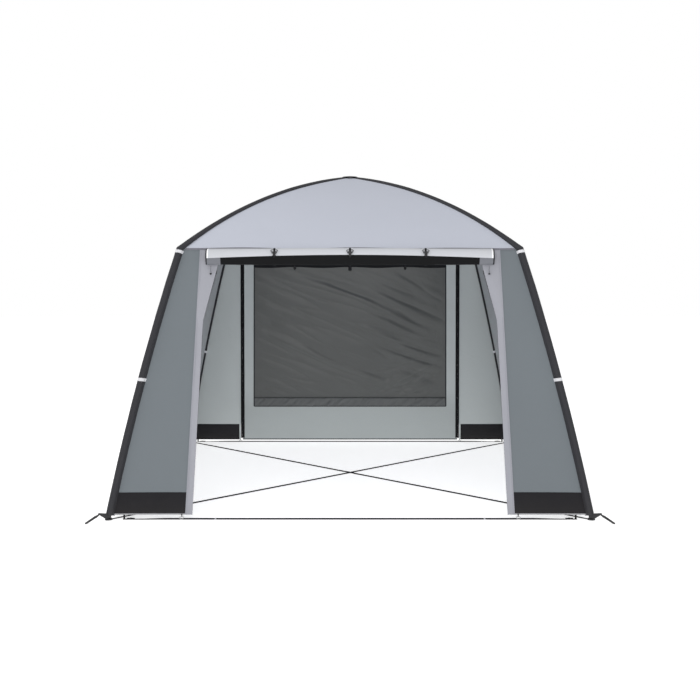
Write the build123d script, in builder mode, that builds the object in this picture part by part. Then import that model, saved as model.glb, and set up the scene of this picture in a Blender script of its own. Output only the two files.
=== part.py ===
"""Square event shelter: a domed roof on two crossing pole arches, four leaning walls,
a rolled-up front door, a zipped back door with a window, and webbing straps on the ground.

Frame: origin on the ground at the centre of the floor, +Z up, the open front faces -Y.
Lengths are in millimetres.
"""

import math
import os

from build123d import *

os.makedirs("parts", exist_ok=True)

# ---------------------------------------------------------------- driving dimensions
GROUND_HALF = 1745.0  # wall cloth to centre, at the ground
EAVES_HALF = 1303.0  # wall cloth to centre, at the eaves
EAVES_Z = 1990.0
HEM_Z = 31.0  # lower edge of the front and side walls
FLAP_TOP_Z = 182.0  # seam between wall cloth and mud flap
BACK_HEM_Z = 26.0
BACK_FLAP_TOP_Z = 200.0
CLOTH = 1.6  # thickness of a coated cloth panel
GAP = 0.3  # between sewn neighbours
CORNER_GAP = 3.0

APEX_Z = 2675.0  # centre of the crossing poles
ROOF_MID = (753.5, 2410.0)  # half width and height of a point on the roof arch
SHOULDER = (1322.0, 1992.0)  # half width and height where arch and leg meet
LEG_MID = (1566.0, 1010.0)
LEG_FOOT = (1762.0, 20.0)

POLE_R = 14.0
POLE_BORE_R = 12.8
SPIGOT_R = 12.3
COLLAR_R = 17.0
SLEEVE_R = 25.0
SLEEVE_WALL = 1.5
BAND_W = 24.0

DOORWAY_BOTTOM = 1156.0  # half width of the doorway's zip line at the hem
DOORWAY_KNEE = (1124.0, 1440.0)  # where the zip line turns inwards
DOORWAY_TOP = (1026.0, 1853.0)
WING_EDGE = (1222.0, 1181.0)  # wing cloth's inner edge at the hem and at the eaves
BACK_ZIP = (1166.0, 1124.0)  # back zip line at the hem and at the eaves
WINDOW_TOP = (1001.0, 1907.0)
WINDOW_BOTTOM = (1035.0, 400.0)
TAPE_W = 16.0
TAPE = 1.0

ROLL_HALF = 1112.0
ROLL_Z = 1927.0
ROLL_HEIGHT = 126.0
ROLL_DEPTH = 60.0
TIE_X = (-583.0, 0.0, 583.0)

STRAP_W = 25.0
STRAP = 2.0
STRAP_END = 1661.0
STRAP_Y = 1750.0

LINK_PIN_R = 3.0
TAB_TIP = (1891.0, 7.2)  # half width and height of the peg hole in a corner tab
TAB_PIVOT = (1815.0, 52.0)
PEG_HOLE_R = 5.0

ROOT2 = math.sqrt(2)
LEAN = math.atan((GROUND_HALF - EAVES_HALF) / EAVES_Z)
FRONT_WALL = Plane(
    origin=(0, -GROUND_HALF, 0),
    x_dir=(1, 0, 0),
    z_dir=(0, -math.cos(LEAN), math.sin(LEAN)),
)
FRONT, RIGHT, BACK, LEFT = 0, 90, 180, 270
CORNERS = {"back_right": 45, "back_left": 135, "front_left": 225, "front_right": 315}


# ---------------------------------------------------------------- shared helpers
def finish(piece, name):
    """Label a finished piece and write its STEP file."""
    piece.part.label = name
    export_step(piece.part, f"parts/{name}.step")


def turned(shape, angle):
    """A copy of a shape turned about the shelter's vertical axis."""
    return shape.rotate(Axis.Z, angle)


def write_turned(shapes, name):
    """One node from shapes that are already in place."""
    with BuildPart() as piece:
        for shape in shapes:
            add(shape)
    finish(piece, name)


def wall_half(z):
    """Distance from the centre to the wall cloth at height z."""
    return GROUND_HALF - (GROUND_HALF - EAVES_HALF) * z / EAVES_Z


def corner_x(z):
    """Half width of a wall panel at height z."""
    return wall_half(z) - CORNER_GAP


def top_corner(reach=22.0, drop=28.0):
    """Two points that clip a panel's upper corner clear of the shoulder."""
    return [
        (corner_x(EAVES_Z - drop), EAVES_Z - drop),
        (corner_x(EAVES_Z) - reach, EAVES_Z),
    ]


def between(edge, z, low=HEM_Z, high=EAVES_Z):
    """Half width at height z of a straight line given by its lower and upper ends."""
    return edge[0] + (edge[1] - edge[0]) * (z - low) / (high - low)


def wall_cloth(outline, offset=0.0, thickness=CLOTH, hole=None):
    """A flat panel in the front wall's plane from an outline of (x, z) corners."""
    with BuildPart() as panel:
        with BuildSketch(FRONT_WALL.offset(offset)):
            with BuildLine():
                Polyline(*[(x, z / math.cos(LEAN)) for x, z in outline], close=True)
            make_face()
            if hole:
                with BuildLine():
                    Polyline(*[(x, z / math.cos(LEAN)) for x, z in hole], close=True)
                make_face(mode=Mode.SUBTRACT)
        extrude(amount=thickness)
    return panel.part


def mirrored_outline(outline):
    """The same outline on the other side of the wall's centre line."""
    return [(-x, z) for x, z in reversed(outline)]


def diagonal_arc(start, middle, end):
    """An arc in the XZ plane through three (half width, height) points on a corner diagonal."""
    with BuildLine(Plane.XZ) as line:
        ThreePointArc(*[(half * ROOT2, z) for half, z in (start, middle, end)])
    return line.edges()[0]


def stretch(arc, start_length, end_length):
    """The part of an arc between two lengths measured along it."""
    start, end = start_length / arc.length, end_length / arc.length
    return Edge.make_three_point_arc(arc @ start, arc @ ((start + end) / 2), arc @ end)


def rod(path, radius, bore=0.0):
    """A round bar or tube along a path."""
    with BuildPart() as bar:
        with BuildSketch(Plane(origin=path @ 0, z_dir=path % 0)):
            Circle(radius)
            if bore:
                Circle(bore, mode=Mode.SUBTRACT)
        sweep(path=path)
    return bar.part


# ---------------------------------------------------------------- pole frame
roof_arc = diagonal_arc((0.0, APEX_Z), ROOF_MID, SHOULDER)
leg_arc = diagonal_arc(SHOULDER, LEG_MID, LEG_FOOT)
JOINT_REACH = 42.0  # from the shoulder's corner to the tube ends
HUB_REACH = 62.0
SPIGOT_LENGTH = 70.0
leg_middle = leg_arc.length / 2
leg_end = leg_arc.length - 40.0

# Crown hub: a moulded disc with four collared spigots for the roof poles.
hub_collar = rod(stretch(roof_arc, 20, HUB_REACH - GAP), COLLAR_R)
hub_spigot = rod(stretch(roof_arc, 20, HUB_REACH + SPIGOT_LENGTH), SPIGOT_R)
with BuildPart() as crown_hub:
    with Locations((0, 0, APEX_Z - 4)):
        Cylinder(50, 34)
    fillet(crown_hub.edges().filter_by(GeomType.CIRCLE), 3)
    for angle in CORNERS.values():
        add(turned(hub_collar, angle))
        add(turned(hub_spigot, angle))
finish(crown_hub, "crown_hub")

roof_pole_shape = rod(
    stretch(roof_arc, HUB_REACH, roof_arc.length - JOINT_REACH), POLE_R, POLE_BORE_R
)
upper_leg_shape = rod(stretch(leg_arc, JOINT_REACH, leg_middle), POLE_R, POLE_BORE_R)
# The lower tube carries the ferrule that plugs into the upper one.
with BuildPart() as lower_leg:
    add(rod(stretch(leg_arc, leg_middle + GAP, leg_end), POLE_R, POLE_BORE_R))
    add(rod(stretch(leg_arc, leg_middle - 90, leg_middle + 60), SPIGOT_R, 10.8))
    add(rod(stretch(leg_arc, leg_middle + 10, leg_middle + 60), POLE_R, 10.8))

# Shoulder elbow: a bent collar with a spigot into each tube.
with BuildPart() as elbow:
    corner = leg_arc @ 0
    roof_side = corner - (roof_arc % 1) * (JOINT_REACH - GAP)
    leg_side = corner + (leg_arc % 0) * (JOINT_REACH - GAP)
    with BuildLine() as bend:
        FilletPolyline(roof_side, corner, leg_side, radius=60)
    with BuildSketch(Plane(origin=bend.line @ 0, z_dir=bend.line % 0)):
        Circle(COLLAR_R)
    sweep(path=bend.line)
    add(rod(stretch(leg_arc, JOINT_REACH - 12, JOINT_REACH + SPIGOT_LENGTH), SPIGOT_R))
    roof_reach = roof_arc.length - JOINT_REACH
    add(rod(stretch(roof_arc, roof_reach - SPIGOT_LENGTH, roof_reach + 12), SPIGOT_R))

# Foot: a round pad, an inclined socket with a spigot, and a lug for the corner tab.
PAD_R = 28.0
LUG_HALF = 12.4
foot_point = leg_arc @ 1
leg_tip = leg_arc @ (leg_end / leg_arc.length)
leg_direction = leg_arc % 1
pivot_s = TAB_PIVOT[0] * ROOT2
with BuildPart() as foot:
    with Locations((foot_point.X, 0, 5)):
        Cylinder(PAD_R, 10)
    fillet(foot.edges().filter_by(GeomType.CIRCLE).sort_by(Axis.Z)[-1], 3)
    with BuildSketch(Plane(origin=leg_tip + leg_direction * GAP, z_dir=leg_direction)):
        Circle(COLLAR_R)
    extrude(amount=44)
    with BuildSketch(Plane(origin=leg_tip + leg_direction * 2, z_dir=leg_direction * -1)):
        Circle(SPIGOT_R)
    extrude(amount=SPIGOT_LENGTH)
    with BuildSketch(Plane.XZ.offset(-LUG_HALF)):
        with BuildLine():
            Polyline(
                (foot_point.X, 8),
                (foot_point.X, 44),
                (pivot_s, 59),
                (pivot_s, 45),
                (foot_point.X + 22, 8),
                close=True,
            )
        make_face()
        with Locations((pivot_s, TAB_PIVOT[1])):
            Circle(7)
    extrude(amount=2 * LUG_HALF)
    with Locations((pivot_s, 0, TAB_PIVOT[1])):
        Box(40, 2 * (LUG_HALF - 5), 40, mode=Mode.SUBTRACT)
    with BuildSketch(Plane.XZ.offset(-LUG_HALF)):
        with Locations((pivot_s, TAB_PIVOT[1])):
            Circle(LINK_PIN_R)
    extrude(amount=2 * LUG_HALF)
    split(bisect_by=Plane.XY, keep=Keep.TOP)

for name, angle in CORNERS.items():
    with BuildPart() as roof_pole:
        add(turned(roof_pole_shape, angle))
    finish(roof_pole, f"roof_pole_{name}")
    with BuildPart() as upper_leg:
        add(turned(upper_leg_shape, angle))
    finish(upper_leg, f"upper_leg_{name}")
    with BuildPart() as lower_leg_here:
        add(turned(lower_leg.part, angle))
    finish(lower_leg_here, f"lower_leg_{name}")
write_turned([turned(elbow.part, angle) for angle in CORNERS.values()], "shoulder_elbows")
write_turned([turned(foot.part, angle) for angle in CORNERS.values()], "pole_feet")

# ---------------------------------------------------------------- pole sleeves
SLEEVE_STOP = 12.0
CAP_R = 62.0
roof_sleeve_arm = rod(
    stretch(roof_arc, CAP_R + 4, roof_arc.length - SLEEVE_STOP), SLEEVE_R, SLEEVE_R - SLEEVE_WALL
)
# A round patch is sewn over the crossing, above the hub.
with BuildPart() as crown_cap:
    with Locations((0, 0, APEX_Z + SLEEVE_R - 5)):
        Cylinder(CAP_R, 6)
    fillet(crown_cap.edges().filter_by(GeomType.CIRCLE).sort_by(Axis.Z)[-1], 4)
write_turned(
    [crown_cap.part] + [turned(roof_sleeve_arm, angle) for angle in CORNERS.values()],
    "roof_sleeves",
)

leg_sleeve_shape = rod(
    stretch(leg_arc, SLEEVE_STOP, leg_end), SLEEVE_R, SLEEVE_R - SLEEVE_WALL
)
for name, angle in CORNERS.items():
    with BuildPart() as leg_sleeve:
        add(turned(leg_sleeve_shape, angle))
    finish(leg_sleeve, f"leg_sleeve_{name}")

# Light bands sewn round each sleeve, under the shoulder and at half height.
band_shapes = []
for start in (20.0, leg_middle):
    ring = rod(stretch(leg_arc, start, start + BAND_W), SLEEVE_R + 1.8, SLEEVE_R + GAP)
    band_shapes += [turned(ring, angle) for angle in CORNERS.values()]
write_turned(band_shapes, "sleeve_bands")

# ---------------------------------------------------------------- roof
sleeve_side = (SLEEVE_R + GAP) * ROOT2  # roof cloth stops at the side of the sleeve
with BuildPart() as roof_panel_front:
    with BuildSketch(Plane.YZ.offset(-EAVES_HALF)):
        with BuildLine():
            outer = ThreePointArc((-30, APEX_Z - 4), (-ROOF_MID[0], 2408), (-1306, 1998))
            inner = ThreePointArc(
                (-30, APEX_Z - 4 - CLOTH), (-ROOF_MID[0], 2408 - CLOTH), (-1306 + CLOTH, 1998 - CLOTH)
            )
            Line(outer @ 0, inner @ 0)
            Line(outer @ 1, inner @ 1)
        make_face()
    extrude(amount=2 * EAVES_HALF)
    with BuildSketch():
        with BuildLine():
            Polyline(
                (0, -sleeve_side),
                (-EAVES_HALF - 100, -EAVES_HALF - 100 - sleeve_side),
                (EAVES_HALF + 100, -EAVES_HALF - 100 - sleeve_side),
                close=True,
            )
        make_face()
    extrude(amount=APEX_Z + 100, mode=Mode.INTERSECT)
    with Locations((0, 0, APEX_Z)):
        Cylinder(CAP_R + 1, 200, mode=Mode.SUBTRACT)
for side, angle in (("front", FRONT), ("right", RIGHT), ("back", BACK), ("left", LEFT)):
    with BuildPart() as roof_panel:
        add(turned(roof_panel_front.part, angle))
    finish(roof_panel, f"roof_panel_{side}")

# ---------------------------------------------------------------- side walls
side_outline = [
    (-corner_x(FLAP_TOP_Z), FLAP_TOP_Z),
    (corner_x(FLAP_TOP_Z), FLAP_TOP_Z),
    *top_corner(),
    *mirrored_outline(top_corner()),
]
side_cloth = wall_cloth(side_outline)
for side, angle in (("right", RIGHT), ("left", LEFT)):
    with BuildPart() as side_wall:
        add(turned(side_cloth, angle))
    finish(side_wall, f"{side}_wall")

# ---------------------------------------------------------------- front wall
wing_outline = [
    (between(WING_EDGE, FLAP_TOP_Z) + GAP, FLAP_TOP_Z),
    (corner_x(FLAP_TOP_Z), FLAP_TOP_Z),
    *top_corner(),
    (WING_EDGE[1] + GAP, EAVES_Z),
]
with BuildPart() as front_right_wing:
    add(wall_cloth(wing_outline))
finish(front_right_wing, "front_right_wing")
with BuildPart() as front_left_wing:
    add(wall_cloth(mirrored_outline(wing_outline)))
finish(front_left_wing, "front_left_wing")

# Light flap that covers each door zip and widens into a gusset at the top.
zip_line = [
    (DOORWAY_BOTTOM, HEM_Z),
    DOORWAY_KNEE,
    DOORWAY_TOP,
    (DOORWAY_TOP[0] - 18, EAVES_Z),
]
zip_flap_outline = [(WING_EDGE[1], EAVES_Z), (WING_EDGE[0], HEM_Z)] + zip_line
write_turned(
    [wall_cloth(zip_flap_outline), wall_cloth(mirrored_outline(zip_flap_outline))],
    "front_zip_flaps",
)

# ---------------------------------------------------------------- back wall
back_panel_outline = [
    (between(BACK_ZIP, BACK_FLAP_TOP_Z, BACK_HEM_Z) + GAP, BACK_FLAP_TOP_Z),
    (corner_x(BACK_FLAP_TOP_Z), BACK_FLAP_TOP_Z),
    *top_corner(),
    (BACK_ZIP[1] + GAP, EAVES_Z),
]
with BuildPart() as back_left_panel:
    add(turned(wall_cloth(back_panel_outline), BACK))
finish(back_left_panel, "back_left_panel")
with BuildPart() as back_right_panel:
    add(turned(wall_cloth(mirrored_outline(back_panel_outline)), BACK))
finish(back_right_panel, "back_right_panel")

DOOR_TOP_Z = EAVES_Z - 6
door_outline = [
    (-BACK_ZIP[0] + GAP, BACK_HEM_Z),
    (BACK_ZIP[0] - GAP, BACK_HEM_Z),
    (BACK_ZIP[1] - GAP, DOOR_TOP_Z),
    (-BACK_ZIP[1] + GAP, DOOR_TOP_Z),
]
window_outline = [
    (-WINDOW_BOTTOM[0], WINDOW_BOTTOM[1]),
    (WINDOW_BOTTOM[0], WINDOW_BOTTOM[1]),
    WINDOW_TOP,
    (-WINDOW_TOP[0], WINDOW_TOP[1]),
]
with BuildPart() as back_door_panel:
    add(turned(wall_cloth(door_outline, hole=window_outline), BACK))
finish(back_door_panel, "back_door_panel")
with BuildPart() as back_window:
    add(turned(wall_cloth(window_outline, offset=0.4, thickness=0.8), BACK))
finish(back_window, "back_window")

# ---------------------------------------------------------------- mud flaps and hem loops
front_flap = [
    (WING_EDGE[0] + GAP, HEM_Z),
    (corner_x(HEM_Z), HEM_Z),
    (corner_x(FLAP_TOP_Z), FLAP_TOP_Z - GAP),
    (between(WING_EDGE, FLAP_TOP_Z) + GAP, FLAP_TOP_Z - GAP),
]
side_flap = [
    (-corner_x(HEM_Z), HEM_Z),
    (corner_x(HEM_Z), HEM_Z),
    (corner_x(FLAP_TOP_Z), FLAP_TOP_Z - GAP),
    (-corner_x(FLAP_TOP_Z), FLAP_TOP_Z - GAP),
]
back_flap = [
    (BACK_ZIP[0] + GAP, BACK_HEM_Z),
    (corner_x(BACK_HEM_Z), BACK_HEM_Z),
    (corner_x(BACK_FLAP_TOP_Z), BACK_FLAP_TOP_Z - GAP),
    (between(BACK_ZIP, BACK_FLAP_TOP_Z, BACK_HEM_Z) + GAP, BACK_FLAP_TOP_Z - GAP),
]
RING_X = {"front": WING_EDGE[0] + 10, "back": BACK_ZIP[0] + 27}
LOOP_Z = 21.0
LOOP_Y = -wall_half(LOOP_Z) - CLOTH / 2
with BuildPart() as hem_loop:
    with BuildSketch(Plane.YZ.offset(-3)):
        with Locations((LOOP_Y, LOOP_Z)):
            Circle(4.4)
        with Locations((LOOP_Y, LOOP_Z)):
            Circle(3.0, mode=Mode.SUBTRACT)
    extrude(amount=6)
flap_shapes = [
    wall_cloth(front_flap),
    wall_cloth(mirrored_outline(front_flap)),
    turned(wall_cloth(side_flap), RIGHT),
    turned(wall_cloth(side_flap), LEFT),
    turned(wall_cloth(back_flap), BACK),
    turned(wall_cloth(mirrored_outline(back_flap)), BACK),
]
for side, angle in (("front", FRONT), ("back", BACK)):
    for direction in (-1, 1):
        loop = hem_loop.part.translate((direction * RING_X[side], 0, 0))
        flap_shapes.append(turned(loop, angle))
write_turned(flap_shapes, "mud_flaps")

# Peg rings hang in the loops and lie against the ground.
RING_R = 14.0
RING_WIRE_R = 2.2
RING_DIP = 36.0
with BuildPart() as ring_shape:
    with Locations((0, LOOP_Y - RING_R, LOOP_Z)):
        Torus(RING_R, RING_WIRE_R)
loop_axis = Axis((0, LOOP_Y, LOOP_Z), (1, 0, 0))
ring_down = ring_shape.part.rotate(loop_axis, RING_DIP)
for side, angle in (("front", FRONT), ("back", BACK)):
    for hand, direction in (("left", -1), ("right", 1)):
        across = direction if side == "front" else -direction
        with BuildPart() as peg_ring:
            add(turned(ring_down.translate((across * RING_X[side], 0, 0)), angle))
        finish(peg_ring, f"peg_ring_{side}_{hand}")

# ---------------------------------------------------------------- zips
def tape_strip(points):
    """Outline of a tape of even width outside a line of (x, z) points."""
    return points + [(x + TAPE_W, z) for x, z in reversed(points)]


back_zip_points = [
    (BACK_ZIP[0] + 1, BACK_HEM_Z + 20),
    (BACK_ZIP[1] + 1, EAVES_Z - 12),
]
front_zip_points = [(x + 1, z) for x, z in zip_line[:3]]
tape_shapes = []
for points, angle in ((front_zip_points, FRONT), (back_zip_points, BACK)):
    outline = tape_strip(points)
    for strip in (outline, mirrored_outline(outline)):
        tape_shapes.append(turned(wall_cloth(strip, offset=-GAP - TAPE, thickness=TAPE), angle))
write_turned(tape_shapes, "zip_tapes")

# A slider is a small plate with two ears and a pin; its pull hangs from the pin.
SLIDER_W = 12.0
SLIDER_L = 28.0
SLIDER_T = 4.0
EAR_REACH = 5.0
PIN_R = 1.25
PULL_BORE_R = 1.3
PULL_L = 32.0
slider_face = -(GAP + TAPE + GAP + SLIDER_T)
pin_depth = slider_face - 2.8


def slider_at(x, z, tilt):
    """Slider body in the front wall, turned in the wall's plane by tilt degrees."""
    here = Plane(FRONT_WALL.from_local_coords(Vector(x, z / math.cos(LEAN), 0)),
                 x_dir=FRONT_WALL.x_dir, z_dir=FRONT_WALL.z_dir)
    with BuildPart() as body:
        with BuildSketch(here.offset(slider_face)):
            with Locations(Rotation(0, 0, tilt)):
                RectangleRounded(SLIDER_W, SLIDER_L, 4)
        extrude(amount=SLIDER_T)
        with BuildSketch(here.offset(slider_face)):
            with Locations((-4, 0), (4, 0)):
                Rectangle(2, 7)
        extrude(amount=-EAR_REACH)
        with BuildSketch(Plane(here.from_local_coords(Vector(-4, 0, pin_depth)),
                               x_dir=here.y_dir, z_dir=here.x_dir)):
            Circle(PIN_R)
        extrude(amount=8)
    return body.part


def pull_at(x, z):
    """Pull that hangs straight down from the slider's pin."""
    pin = FRONT_WALL.from_local_coords(Vector(x, z / math.cos(LEAN), pin_depth))
    with BuildPart() as pull:
        with BuildSketch(Plane.YZ.offset(pin.X - 2.5)):
            with Locations((pin.Y, pin.Z)):
                Circle(2.4)
            with Locations((pin.Y, pin.Z - PULL_L / 2)):
                Rectangle(1.8, PULL_L)
            with Locations((pin.Y, pin.Z)):
                Circle(PULL_BORE_R, mode=Mode.SUBTRACT)
        extrude(amount=5)
        with BuildSketch(Plane.XZ.offset(-pin.Y - 1.5)):
            with Locations((pin.X, pin.Z - PULL_L)):
                RectangleRounded(8, 18, 3)
        extrude(amount=3)
    return pull.part


SLANT = math.degrees(math.atan2(DOORWAY_KNEE[0] - DOORWAY_TOP[0],
                                (DOORWAY_TOP[1] - DOORWAY_KNEE[1]) / math.cos(LEAN)))
FRONT_SLIDER = (DOORWAY_TOP[0] + 12.0, 1838.0)
BACK_SLIDER = (between(BACK_ZIP, 84.0, BACK_HEM_Z) + 9.0, 84.0)
BACK_TILT = math.degrees(math.atan2(BACK_ZIP[0] - BACK_ZIP[1], EAVES_Z - BACK_HEM_Z))
for side, angle, place, tilt in (
    ("front", FRONT, FRONT_SLIDER, SLANT),
    ("back", BACK, BACK_SLIDER, BACK_TILT),
):
    for hand, direction in (("left", -1), ("right", 1)):
        across = direction if side == "front" else -direction
        x = across * place[0]
        with BuildPart() as zip_slider:
            add(turned(slider_at(x, place[1], across * tilt), angle))
        finish(zip_slider, f"zip_slider_{side}_{hand}")
        with BuildPart() as zip_pull:
            add(turned(pull_at(x, place[1]), angle))
        finish(zip_pull, f"zip_pull_{side}_{hand}")

# ---------------------------------------------------------------- rolled front door
roll_y = -wall_half(ROLL_Z) - 14 - ROLL_DEPTH / 2
with BuildPart() as rolled_front_door:
    with BuildSketch(Plane.YZ.offset(-ROLL_HALF)):
        with Locations((roll_y, ROLL_Z)):
            Ellipse(ROLL_DEPTH / 2, ROLL_HEIGHT / 2)
    extrude(amount=2 * ROLL_HALF)
finish(rolled_front_door, "rolled_front_door")

# Door ties: three webbing loops with toggles, and an elastic cord with a ball at each end.
TIE_W = 12.0
with BuildPart() as door_ties:
    for x in TIE_X:
        with BuildSketch(Plane.YZ.offset(x - TIE_W / 2)):
            with Locations((roll_y, ROLL_Z)):
                Ellipse(ROLL_DEPTH / 2 + 2.3, ROLL_HEIGHT / 2 + 2.3)
                Ellipse(ROLL_DEPTH / 2 + GAP, ROLL_HEIGHT / 2 + GAP, mode=Mode.SUBTRACT)
        extrude(amount=TIE_W)
        with Locations((x, roll_y - ROLL_DEPTH / 2 - 6, ROLL_Z)):
            Cylinder(6, 34)
    for x in (-1075.0, 1075.0):
        with Locations((x, roll_y, 1832.0)):
            Cylinder(2.5, 58)
        with Locations((x, roll_y, 1800.0)):
            Sphere(8)
finish(door_ties, "door_ties")

# ---------------------------------------------------------------- toggles inside the back door
TOGGLE_TOP_Z = 1950.0
TOGGLE_DROP = 62.0
toggle_y = wall_half(TOGGLE_TOP_Z) - 12
for name, x in (("left", -576.0), ("centre", 0.0), ("right", 576.0)):
    with BuildPart() as window_toggle:
        with Locations((x, toggle_y, TOGGLE_TOP_Z - TOGGLE_DROP / 2)):
            Box(14, 2, TOGGLE_DROP)
        with Locations((x, toggle_y, TOGGLE_TOP_Z - TOGGLE_DROP)):
            Cylinder(6, 44)
    finish(window_toggle, f"window_toggle_{name}")

# ---------------------------------------------------------------- ground straps
strap_rise_y = -wall_half(HEM_Z) - CLOTH
with BuildPart() as ground_strap:
    with Locations((0, -STRAP_Y, STRAP / 2)):
        Box(2 * STRAP_END, STRAP_W, STRAP)
    for x in (-STRAP_END + 7, STRAP_END - 7):
        with Locations((x, strap_rise_y, (BACK_HEM_Z - 1) / 2)):
            Box(14, STRAP, BACK_HEM_Z - 1)
write_turned([ground_strap.part, turned(ground_strap.part, BACK)], "ground_straps")

with BuildPart() as diagonal_straps:
    for angle in (45, 135):
        with BuildSketch():
            Rectangle(2 * (foot_point.X - PAD_R - GAP), STRAP_W, rotation=angle)
        extrude(amount=STRAP)
finish(diagonal_straps, "diagonal_straps")

# Ladder-lock buckles lie on the straps near both ends.
BUCKLE_X = 1606.0
with BuildPart() as buckle:
    with BuildSketch(Plane.XY.offset(STRAP + GAP)):
        with Locations((BUCKLE_X, -STRAP_Y)):
            RectangleRounded(56, 34, 4)
            with Locations((-13, 0), (13, 0)):
                Rectangle(14, STRAP_W, mode=Mode.SUBTRACT)
    extrude(amount=5)
buckle_pair = [buckle.part, buckle.part.mirror(Plane.YZ)]
write_turned(buckle_pair + [turned(shape, BACK) for shape in buckle_pair], "strap_buckles")

# ---------------------------------------------------------------- corner peg tabs
TAB_T = 5.0
TAB_EYE_R = 6.0
TAB_TIP_R = 12.0
pivot = Vector(pivot_s, 0, TAB_PIVOT[1])
tip = Vector(TAB_TIP[0] * ROOT2, 0, TAB_TIP[1])
reach = (tip - pivot).length
tab_plane = Plane(origin=pivot, x_dir=tip - pivot, z_dir=Vector(0, 1, 0).cross(tip - pivot) * -1)
with BuildPart() as corner_tab:
    with BuildSketch(tab_plane.offset(-TAB_T / 2)):
        with BuildLine():
            Polyline(
                (0, -7), (11, -7), (30, -16), (reach, -TAB_TIP_R),
                (reach, TAB_TIP_R), (30, 16), (11, 7), (0, 7),
                close=True,
            )
        make_face()
        with Locations((reach, 0)):
            Circle(TAB_TIP_R)
    extrude(amount=TAB_T)
    with BuildSketch(Plane.XZ.offset(-7)):
        with Locations((pivot.X, pivot.Z)):
            Circle(TAB_EYE_R)
    extrude(amount=14)
    with BuildSketch(Plane.XZ.offset(-20)):
        with Locations((pivot.X, pivot.Z)):
            Circle(LINK_PIN_R + 0.06)
    extrude(amount=40, mode=Mode.SUBTRACT)
    with BuildSketch(tab_plane.offset(-TAB_T)):
        with Locations((reach, 0)):
            Circle(PEG_HOLE_R)
        with Locations((reach / 2 + 6, 0)):
            SlotCenterToCenter(30, 8)
    extrude(amount=2 * TAB_T, mode=Mode.SUBTRACT)
for name, angle in CORNERS.items():
    with BuildPart() as corner_tab_here:
        add(turned(corner_tab.part, angle))
    finish(corner_tab_here, f"corner_tab_{name}")
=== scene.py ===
"""Square event shelter: cloth, webbing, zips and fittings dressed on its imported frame.

Frame: origin on the ground at the centre of the floor, +Z up, the open front faces -Y.
Lengths are in metres. Each wall is laid out as the front one, then turned about Z.
"""

import math

import bpy
from mathutils import Matrix, Vector, noise


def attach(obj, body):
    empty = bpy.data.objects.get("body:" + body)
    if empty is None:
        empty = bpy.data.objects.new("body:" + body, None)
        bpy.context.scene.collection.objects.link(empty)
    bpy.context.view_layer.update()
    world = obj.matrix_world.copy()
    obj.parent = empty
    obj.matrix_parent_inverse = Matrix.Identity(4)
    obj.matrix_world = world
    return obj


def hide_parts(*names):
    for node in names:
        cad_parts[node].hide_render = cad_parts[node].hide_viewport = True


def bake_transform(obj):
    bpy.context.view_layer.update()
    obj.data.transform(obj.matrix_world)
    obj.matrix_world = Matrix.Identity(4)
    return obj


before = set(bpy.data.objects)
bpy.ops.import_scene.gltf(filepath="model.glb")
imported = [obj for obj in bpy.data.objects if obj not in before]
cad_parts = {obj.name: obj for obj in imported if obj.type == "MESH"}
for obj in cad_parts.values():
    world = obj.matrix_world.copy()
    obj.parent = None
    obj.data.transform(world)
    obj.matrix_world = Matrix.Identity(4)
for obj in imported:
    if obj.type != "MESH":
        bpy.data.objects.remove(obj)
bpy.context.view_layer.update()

# ------------------------------------------------------------------ studio
# The shelter stands on a plain pale floor under broad, soft lights, and is looked at
# from standing height, straight at its open front.
EYE = (0.0, -8.9075, 1.729)
LOOKS_UP_BY = -0.0957
WORLD_LIGHT = 0.52


def area_light(name, place, size, power):
    """A broad square lamp that faces the middle of the shelter."""
    bpy.ops.object.light_add(type="AREA", location=place)
    lamp = bpy.context.object
    lamp.name = name
    lamp.data.size = size
    lamp.data.energy = power
    aim = Vector((0, 0, 1.0)) - Vector(place)
    lamp.rotation_euler = aim.to_track_quat("-Z", "Y").to_euler()


for leftover in ("Cube", "Light", "Camera"):
    if leftover in bpy.data.objects:
        bpy.data.objects.remove(bpy.data.objects[leftover])
bpy.ops.object.select_all(action="DESELECT")
bpy.ops.object.camera_add(location=EYE, rotation=(math.radians(90), 0, 0))
camera = bpy.context.object
camera.name = "camera"
camera.data.lens = 50.3
camera.data.sensor_width = 36.0
camera.data.shift_y = LOOKS_UP_BY
bpy.context.scene.camera = camera
bpy.context.scene.view_settings.view_transform = "Standard"

area_light("front_light", (0.0, -9.5, 3.2), 6.0, 150)
area_light("top_light", (-2.5, -2.5, 8.0), 6.0, 130)
area_light("left_light", (-8.5, 1.0, 3.5), 5.0, 80)
area_light("right_light", (8.5, 1.0, 3.5), 5.0, 50)


def put(tree, kind, sockets=None, **settings):
    """A new shader node with its settings; each socket given is set, or linked to an output."""
    made = tree.nodes.new(kind)
    for key, value in settings.items():
        setattr(made, key, value)
    for key, value in (sockets or {}).items():
        if isinstance(value, bpy.types.NodeSocket):
            tree.links.new(value, made.inputs[key])
        else:
            made.inputs[key].default_value = value
    return made


def screen(red, green, blue):
    """A colour given by its 0 to 255 screen values, as the shaders hold it."""
    parts = [c / 255 for c in (red, green, blue)]
    return [c / 12.92 if c <= 0.04045 else ((c + 0.055) / 1.055) ** 2.4 for c in parts] + [1.0]


def start_material(name, roughness, specular=0.5):
    """A new material with its tree and its Principled shader."""
    material = bpy.data.materials.new(name)
    material.use_nodes = True
    shader = material.node_tree.nodes["Principled BSDF"]
    shader.inputs["Roughness"].default_value = roughness
    shader.inputs["Specular IOR Level"].default_value = specular
    return material, material.node_tree, shader


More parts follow.
